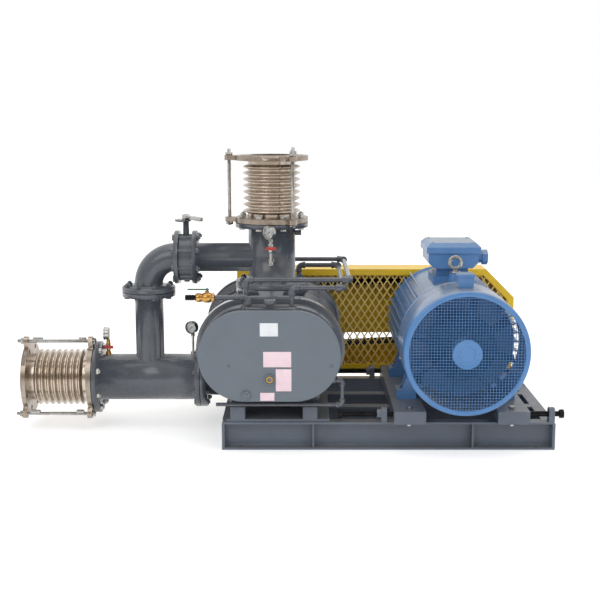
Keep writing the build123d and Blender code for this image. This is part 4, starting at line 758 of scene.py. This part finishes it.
def boltRing(name, look, centre, direction, circle, grip, slot):
    model = hexBolt(look, grip)
    facing = Vector(direction).to_track_quat("Z", "Y")
    bolts = []
    for i in range(look["perFlange"]):
        angle = radians(look["firstAngle"]) + 2 * pi * i / look["perFlange"]
        spot = facing @ Vector((circle * cos(angle), circle * sin(angle), 0)) + Vector(centre)
        bolts.append(copyTo(model, spot / 1000.0, facing.to_euler()))
    bpy.data.objects.remove(model)
    finishPiece(joinAll(bolts), name, slot, "pump_set", 25)


# Centres of the pipe runs, their outer radii and the bolt circles of their flanges.
pipework = {
    "branchX": -1108, "branchZ": 807, "elbowFoot": 625, "valveLeft": -978, "ductZ": 229, "outletLeft": -887,
    "dischargeRight": -1391, "widePipe": 109.5, "narrowPipe": 66.5,
    "wideCircle": 147.5, "outletCircle": 122, "narrowCircle": 105, "rodCircle": 197,
}
riserLow, riserHigh = cornersOf("riser_pipe")
boltedFlanges = {
    "casingFlangeBolts": ((pumpX, portY, riserLow.z - 30), upright, "wideCircle", 55, "pipe_paint"),
    "riserTopBolts": ((pumpX, portY, riserHigh.z - 20), upright, "wideCircle", 45, "zinc_steel"),
    "branchDownBolts": (
        (pipework["branchX"], portY, pipework["elbowFoot"]), upright, "narrowCircle", 43, "pipe_paint"),
    "valveBolts": (
        (pipework["valveLeft"], portY, pipework["branchZ"]), rightward, "narrowCircle", 102, "pipe_paint"),
    "outletBolts": (
        (pipework["outletLeft"], portY, pipework["ductZ"]), rightward, "outletCircle", 47, "pipe_paint"),
    "dischargeBolts": (
        (pipework["dischargeRight"], portY, pipework["ductZ"]), rightward, "wideCircle", 47, "zinc_steel"),
}
for name, (centre, direction, circle, grip, slot) in boltedFlanges.items():
    boltRing(name, boltShape, centre, direction, pipework[circle], grip, slot)
print("flange bolts are in")


# Blank plates on the cover

plateLook = {"thickness": 1.0, "lift": 0.2, "edge": 0.3, "rivet": 2.4, "rivetInset": 5.0}
platePlaces = {
    "upperBlankPlate": (-566, -488, 530, 588, "white"),
    "middleBlankPlate": (-552, -431, 394, 462, "rose"),
    "sideBlankPlate": (-498, -430, 287, 385, "rose"),
    "lowerBlankPlate": (-566, -504, 244.5, 280, "rose"),
}
plateColours = {
    "white": mouldedPlastic("rolledWhiteCoatedPlate", {
        "colour": "#F4F7FA", "shade": "#EAEFF4", "gloss": (0.30, 0.42)}),
    "rose": mouldedPlastic("rolledRoseCoatedPlate", {
        "colour": "#FCE4EC", "shade": "#F7D9E3", "gloss": (0.35, 0.5), "patch": 30}),
}
coverFace = cornersOf("gear_case_cover")[0].y


def blankPlate(name, look, left, right, low, high, colour):
    front = coverFace - look["lift"]
    middle = ((left + right) / 2, front - look["thickness"] / 2, (low + high) / 2)
    bpy.ops.mesh.primitive_cube_add(size=1.0, location=[mm(value) for value in middle])
    plate = bpy.context.object
    plate.scale = (mm(right - left), mm(look["thickness"]), mm(high - low))
    makeActive(plate)
    bpy.ops.object.transform_apply(location=False, rotation=False, scale=True)
    bpy.ops.object.mode_set(mode="EDIT")
    bpy.ops.mesh.select_all(action="SELECT")
    bpy.ops.mesh.bevel(offset=mm(look["edge"]), segments=2)
    bpy.ops.object.mode_set(mode="OBJECT")
    parts = [plate]
    inset = look["rivetInset"]
    for x in (left + inset, right - inset) if colour == "white" else ():  # only the white plate is riveted
        for z in (low + inset, high - inset):
            head = [(0, 1.4), (1.2, 1.2), (2.0, 0.8), (look["rivet"], 0.0)]
            parts.append(turnProfile(head, (x, front - look["thickness"], z), forward, steps=12))
    plate = finishPiece(joinAll(parts), name, "cover_paint", "pump_set", 30)
    plate.data.materials.clear()
    plate.data.materials.append(plateColours[colour])


for name, place in platePlaces.items():
    blankPlate(name, plateLook, *place)
print("plates are on")


# Sight glass, drain plug, breather and cover screws

oilLook = {
    "sightZ": 339.0,
    "plug": (-627.0, 269.0),
    "screws": (-702.0, -256.0),
    "screwZ": 399.0,
    "breather": (91.0, 639.0),  # behind the cover's face, and up
    "lift": 0.1,
}


def oilFittings(look):
    face = coverFace - look["lift"]
    sight = (pumpX, face, look["sightZ"])
    ring = turnProfile(
        [(17, 4), (17, 9), (19, 11), (23, 10), (24.5, 7), (24.5, 0), (17, 0)], sight, forward, 48)
    rim = [(9.5, 5.5), (10, 6.5), (14.0, 6.5), (16.8, 4.5), (16.8, 0.5), (9.5, 0.5), (9.5, 5.5)]
    washer = turnProfile(rim, sight, forward, 48)
    lens = turnProfile([(0, 5.2), (9.3, 5.2), (9.3, 0.6), (0, 0.6)], sight, forward, 32)
    hexagonHead = hexBolt(dict(boltShape, head=5.0, flats=36.0, nut=5.0), 0.001)
    hexagonHead.rotation_euler = (pi / 2, 0, 0)
    hexagonHead.location = (mm(look["plug"][0]), mm(coverFace - 5.2), mm(look["plug"][1]))
    cap = [
        (0, 0), (15, 0), (16, 1), (16, 11), (25, 13.5), (26.5, 16),
        (26.5, 32), (24, 36), (19, 39.5), (0, 40.5),
    ]
    vent = turnProfile(cap, (pumpX, coverFace + look["breather"][0], look["breather"][1]), upright, 48)
    rimOfHead = [(3.2, 1.0), (3.6, 3.0), (5.4, 3.0), (6.2, 2.2), (6.2, 0.1), (3.2, 0.1), (3.2, 1.0)]
    socket = [(0, 1.2), (3.1, 1.2), (3.1, 0.2), (0, 0.2)]
    screws = []
    for x in look["screws"]:
        screws.append(turnProfile(rimOfHead, (x, face, look["screwZ"]), forward, 24))
        screws.append(turnProfile(socket, (x, face, look["screwZ"]), forward, 6))
    painted = joinAll([ring, hexagonHead] + screws)
    finishPiece(painted, "paintedCoverFittings", "cover_paint", "pump_set", 35)
    finishPiece(washer, "sightGlassRing", "valve_brass", "pump_set", 35)
    finishPiece(lens, "sightGlassLens", "gauge_glass", "pump_set", 35)
    finishPiece(vent, "oilBreather", "pump_paint", "pump_set", 35)
    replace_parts(painted, "oil_fittings")


oilFittings(oilLook)
print("oil fittings are on")


# Gauges: cases, dials, stems and cocks

gaugeLook = {
    "radius": 30.0, "dial": 26.8, "behind": 8.0,
    "majorTicks": 11, "minorTicks": 4, "firstTick": 225.0, "sweep": 270.0,
    "majorReach": (18.0, 23.5), "majorWidth": 0.9,
    "minorReach": (21.0, 23.5), "minorWidth": 0.45,
    "tickRise": 16.25, "tickHeight": 0.1,
}
gaugePlaces = {
    "riser": ((-525.0, -203.0, 946.0), 227.0, "zinc_steel"),
    "discharge": ((-1308.0, 2.5, 440.0), 180.0, "zinc_steel"),
    "outlet": ((-904.0, 2.5, 471.0), 245.0, "gauge_black"),
}
dialWhite = mouldedPlastic("stovedWhiteDial", {
    "colour": "#EEF0F0", "shade": "#E6E9EA", "gloss": (0.35, 0.45)})


def dialTicks(look, back, towards):
    ticks = []
    level = Vector(upright).cross(towards)
    perMajor = look["minorTicks"] + 1
    count = (look["majorTicks"] - 1) * perMajor + 1
    for i in range(count):
        kind = "major" if i % perMajor == 0 else "minor"
        angle = radians(look["firstTick"] - look["sweep"] * i / (count - 1))
        spoke = level * cos(angle) + Vector(upright) * sin(angle)
        inner, outer = look[kind + "Reach"]
        bpy.ops.mesh.primitive_cube_add(size=1.0)
        tick = bpy.context.object
        middle = back + towards * look["tickRise"] + spoke * ((inner + outer) / 2)
        turn = Matrix((spoke, towards.cross(spoke), towards)).transposed().to_4x4()
        size = (mm(outer - inner), mm(look[kind + "Width"]), mm(look["tickHeight"]), 1)
        tick.matrix_world = Matrix.Translation(middle / 1000) @ turn @ Matrix.Diagonal(size)
        ticks.append(tick)
    return joinAll(ticks)


def oneGauge(name, look, place, facing, slot):
    towards = Vector((cos(radians(facing)), sin(radians(facing)), 0))
    back = Vector(place) - towards * look["behind"]
    r = look["radius"]
    shell = [
        (0, 0.4), (22, 0.4), (r - 3, 1.2), (r - 1, 3.5), (r - 1, 20), (r + 0.6, 21),
        (r + 0.6, 27), (r - 1, 28), (r - 3, 27.4), (r - 3, 16), (0, 16),
    ]
    case = turnProfile(shell, back, towards, 64)
    finishPiece(case, name + "GaugeCase", slot, "pump_set", 35)
    disc = [(0, 16.2), (look["dial"], 16.2), (look["dial"], 16.02), (0, 16.02)]
    dial = turnProfile(disc, back, towards, 48)
    finishPiece(dial, name + "GaugeDial", "gauge_black", "pump_set", 35)
    dial.data.materials.clear()
    dial.data.materials.append(dialWhite)
    finishPiece(dialTicks(look, back, towards), name + "GaugeTicks", "pointer_black", "pump_set", 30)
    return case


cases = [oneGauge(name, gaugeLook, *gaugePlaces[name]) for name in gaugePlaces]
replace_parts(cases[0], "gauge_cases")

stemLook = {
    "riserFoot": 797, "ductFoot": 336, "riserCock": 875, "dischargeCock": 377, "branchZ": 808, "caseDrop": 31}


def stemOutline(foot, top, boss, cock=None):
    # Foot boss, thin pipe, cock barrel if there is one, and the case's hexagon neck.
    points = [(0, foot), (boss, foot), (boss, foot + 14), (boss - 2, foot + 17), (6.5, foot + 18)]
    if cock is not None:
        points += [(6.5, cock - 22), (9, cock - 20), (10.5, cock - 16)]
        points += [(10.5, cock + 16), (9, cock + 20), (6.5, cock + 22)]
    return points + [(6.5, top - 14), (9.5, top - 13), (9.5, top - 2), (7, top + 2), (0, top + 2)]


def standingStem(look, place, foot, boss, cock=None):
    outline = stemOutline(foot, place[2] - look["caseDrop"], boss, cock)
    return turnProfile(outline, (place[0], place[1], 0), upright, 24)


def cockPlug(place, height):
    outline = [(0, 13.8), (6, 13.8), (7, 12.8), (7, 0), (0, 0)]
    return turnProfile(outline, (place[0], place[1], height), forward, 20)


def gaugeStems(look):
    riser, discharge, outlet = [gaugePlaces[name][0] for name in ("riser", "discharge", "outlet")]
    stub = [(0, 0), (9, 0), (9, 88), (13, 89), (13, 103), (0, 103)]
    steel = [
        standingStem(look, riser, look["riserFoot"], 11, look["riserCock"]),
        turnProfile(stub, (riser[0], riser[1], look["branchZ"]), backward, 24),
        cockPlug(riser, look["riserCock"]),
        standingStem(look, outlet, look["ductFoot"], 12),
    ]
    brass = [
        standingStem(look, discharge, look["ductFoot"], 13, look["dischargeCock"]),
        cockPlug(discharge, look["dischargeCock"]),
    ]
    stems = finishPiece(joinAll(steel), "steelGaugeStems", "zinc_steel", "pump_set", 35)
    finishPiece(joinAll(brass), "brassGaugeStem", "valve_brass", "pump_set", 35)
    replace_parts(stems, "gauge_cocks")


gaugeStems(stemLook)
print("gauges are dressed")


# Brass water valve with its hose tail

valveLook = {"start": (-894.0, -400.0, 683.0), "neck": (-798.0, -400.0, 683.0), "barbs": 4, "barbPitch": 9.0}


def waterValve(look):
    barbs = [(8, 0), (10.5, 0)]
    for i in range(look["barbs"]):
        at = i * look["barbPitch"]
        barbs += [(13.5, 9 + at), (11.0, 9.6 + at)]
    barbs += [(11, 44), (14.5, 44.5), (14.5, 48), (8, 48), (8, 0)]
    tail = turnProfile(barbs, look["start"], rightward, 32)
    finishPiece(tail, "hoseTail", "black_steel", "pump_set", 35)
    outline = [
        (15.6, 48.5), (18.5, 49), (19.5, 52), (19.5, 66), (18, 69), (17, 74), (20, 80), (22.5, 88),
        (22.5, 104), (20, 112), (17.5, 115), (19.5, 118), (19.5, 127), (15.6, 128), (15.6, 48.5),
    ]
    body = turnProfile(outline, look["start"], rightward, 48)
    collar = [(5, 18), (10, 18), (10, 24), (8.5, 29), (5, 29), (5, 18)]
    neck = turnProfile(collar, look["neck"], upright, 32)
    brass = finishPiece(joinAll([body, neck]), "brassValveBody", "valve_brass", "pump_set", 35)
    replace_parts(brass, "water_valve_body")


waterValve(valveLook)
print("water valve is turned")


# Screwed elbows on the water pipes

elbowLook = {"radius": 14.6, "bend": 20.0, "collar": 17.0, "reach": 30.0, "lap": 8.0}


def screwedElbow(look, last, corner, after):
    corner = Vector(corner)
    arms = [(Vector(last) - corner).normalized(), (Vector(after) - corner).normalized()]
    ends = [corner + arm * look["reach"] for arm in arms]
    parts = [bentPipe([ends[0], corner, ends[1]], look["radius"], look["bend"])]
    r = look["collar"]
    for arm in arms:
        collar = [
            (r - 4, 0), (r - 1, 0), (r, 1.5), (r, 9),
            (r - 1, 10.5), (r - 5.5, 10.5), (r - 5.5, 0), (r - 4, 0),
        ]
        parts.append(turnProfile(collar, corner + arm * (look["reach"] - look["lap"]), arm, 24))
    return parts


def waterElbows(name, look, runs):
    parts = []
    for run in runs:
        for i in range(1, len(run) - 1):
            parts += screwedElbow(look, run[i - 1], run[i], run[i + 1])
    finishPiece(joinAll(parts), name, "small_pipe_paint", "pump_set", 40)


waterElbows("screwedElbows", elbowLook, supplyRuns)
drainLook = dict(elbowLook, radius=11.4, bend=16.0, collar=13.4, reach=24.0)
waterElbows("drainElbows", drainLook, [waterRuns["drain"]])
print("elbows are screwed on")


# Weld beads where pipes meet flanges

weldLook = {"leg": 6.0, "ripple": 0.5, "ripples": 60}


def weldRing(look, centre, direction, radius):
    leg = look["leg"]
    bead = [
        (radius - 0.5, -0.3), (radius + leg, -0.3), (radius + leg * 0.62, leg * 0.55),
        (radius + 0.1, leg), (radius - 0.5, -0.3),
    ]
    ring = turnProfile(bead, centre, direction, 2 * look["ripples"])
    for vertex in ring.data.vertices:
        reach = hypot(vertex.co.x, vertex.co.y) * 1000
        if reach > radius + 0.3:
            lift = 1 + look["ripple"] / radius * cos(look["ripples"] * atan2(vertex.co.y, vertex.co.x))
            vertex.co.x *= lift
            vertex.co.y *= lift
    return ring


wide = pipework["widePipe"]
narrow = pipework["narrowPipe"]
weldPlaces = [
    ((pumpX, portY, 700), upright, wide),
    ((pumpX, portY, 953), downward, wide),
    ((-876, portY, pipework["branchZ"]), rightward, narrow),
    ((pipework["valveLeft"], portY, pipework["branchZ"]), leftward, narrow),
    ((pipework["branchX"], portY, 668), upright, narrow),
    ((pipework["branchX"], portY, pipework["elbowFoot"]), downward, narrow),
    ((-1344, portY, pipework["ductZ"]), rightward, wide),
    ((pipework["outletLeft"], portY, pipework["ductZ"]), leftward, wide),
]
beads = [weldRing(weldLook, *place) for place in weldPlaces]
finishPiece(joinAll(beads), "weldBeads", "pipe_paint", "pump_set", 50)
print("welds are laid")


# Threads on the tie rods and the jacking screws

threadLook = {"pitch": 3.0, "depth": 0.9, "rod": 8.0, "length": 34, "longLength": 46}
rodEnds = {
    "inletAngles": (180, 300, 60), "inletLow": 999.5, "inletHigh": 1246.0,
    "dischargeAngles": (342, 102, 222), "dischargeRight": -1406, "dischargeLeft": -1656,
}


def threadSleeve(look, centre, direction, radius, length):
    # Ridges side by side stand for the thread; they are drawn a little coarse so that they show.
    points = [(radius - 0.2, 0)]
    for i in range(int(length / look["pitch"])):
        crest = (radius + look["depth"], (i + 0.5) * look["pitch"])
        points += [crest, (radius + 0.05, (i + 1) * look["pitch"])]
    points += [(radius - 0.2, points[-1][1]), (radius - 0.2, 0)]
    return turnProfile(points, centre, direction, 20)


def tieRodThreads(look, ends):
    # The lengths leave room for the sliding flanges to come in by the bellows' give.
    circle = pipework["rodCircle"]
    radius = look["rod"]
    sleeves = []
    for angle in ends["inletAngles"]:
        x = pumpX + circle * cos(radians(angle))
        y = portY + circle * sin(radians(angle))
        sleeves.append(threadSleeve(look, (x, y, ends["inletLow"]), upright, radius, look["length"]))
        sleeves.append(threadSleeve(look, (x, y, ends["inletHigh"]), downward, radius, look["length"]))
    for angle in ends["dischargeAngles"]:
        y = portY + circle * cos(radians(angle))
        z = pipework["ductZ"] + circle * sin(radians(angle))
        sleeves.append(threadSleeve(look, (ends["dischargeRight"], y, z), leftward, radius, look["length"]))
        sleeves.append(
            threadSleeve(look, (ends["dischargeLeft"], y, z), rightward, radius, look["longLength"]))
    finishPiece(joinAll(sleeves), "tieRodThreads", "zinc_steel", "pump_set", 30)


tieRodThreads(threadLook, rodEnds)
jackLook = dict(
    threadLook, pitch=4.0, depth=0.6, rod=12.0, places=(-401, 401), height=159, runs=((-203, 148), (656, 52)))
jackSleeves = [
    threadSleeve(jackLook, (x, y, jackLook["height"]), rightward, jackLook["rod"], length)
    for y in jackLook["places"] for x, length in jackLook["runs"]
]
finishPiece(joinAll(jackSleeves), "jackThreads", "black_steel", "pump_set", 30)
print("threads are cut")


# Screws of the fan cowl, the terminal box and the auxiliary box

motorScrewLook = {
    "cowlAngles": (15, 105, 195, 285), "cowlY": -318,
    "large": 6.5, "small": 4.0, "lidInset": 34, "auxInset": 14,
}


def domedScrew(centre, direction, radius):
    head = [(0, 4.2), (radius * 0.5, 4.0), (radius * 0.85, 3.0), (radius, 1.2), (radius, -1.0), (0, -1.0)]
    return turnProfile(head, centre, direction, 20)


def lidScrews(node, inset, radius):
    low, high = cornersOf(node)
    corners = [
        (x, y, high.z) for x in (low.x + inset, high.x - inset) for y in (low.y + inset, high.y - inset)]
    return [domedScrew(corner, upright, radius) for corner in corners]


def motorScrews(look):
    screws = []
    for angle in look["cowlAngles"]:
        outwards = Vector((cos(radians(angle)), 0, sin(radians(angle))))
        foot = Vector((motorX, look["cowlY"], motorZ)) + outwards * cowlShape["radius"]
        screws.append(domedScrew(foot, outwards, look["large"]))
    screws += lidScrews("terminal_box_lid", look["lidInset"], look["large"])
    screws += lidScrews("aux_box", look["auxInset"], look["small"])
    finishPiece(joinAll(screws), "motorScrews", "zinc_steel", "motor_carriage", 35)


motorScrews(motorScrewLook)
print("screws are in")
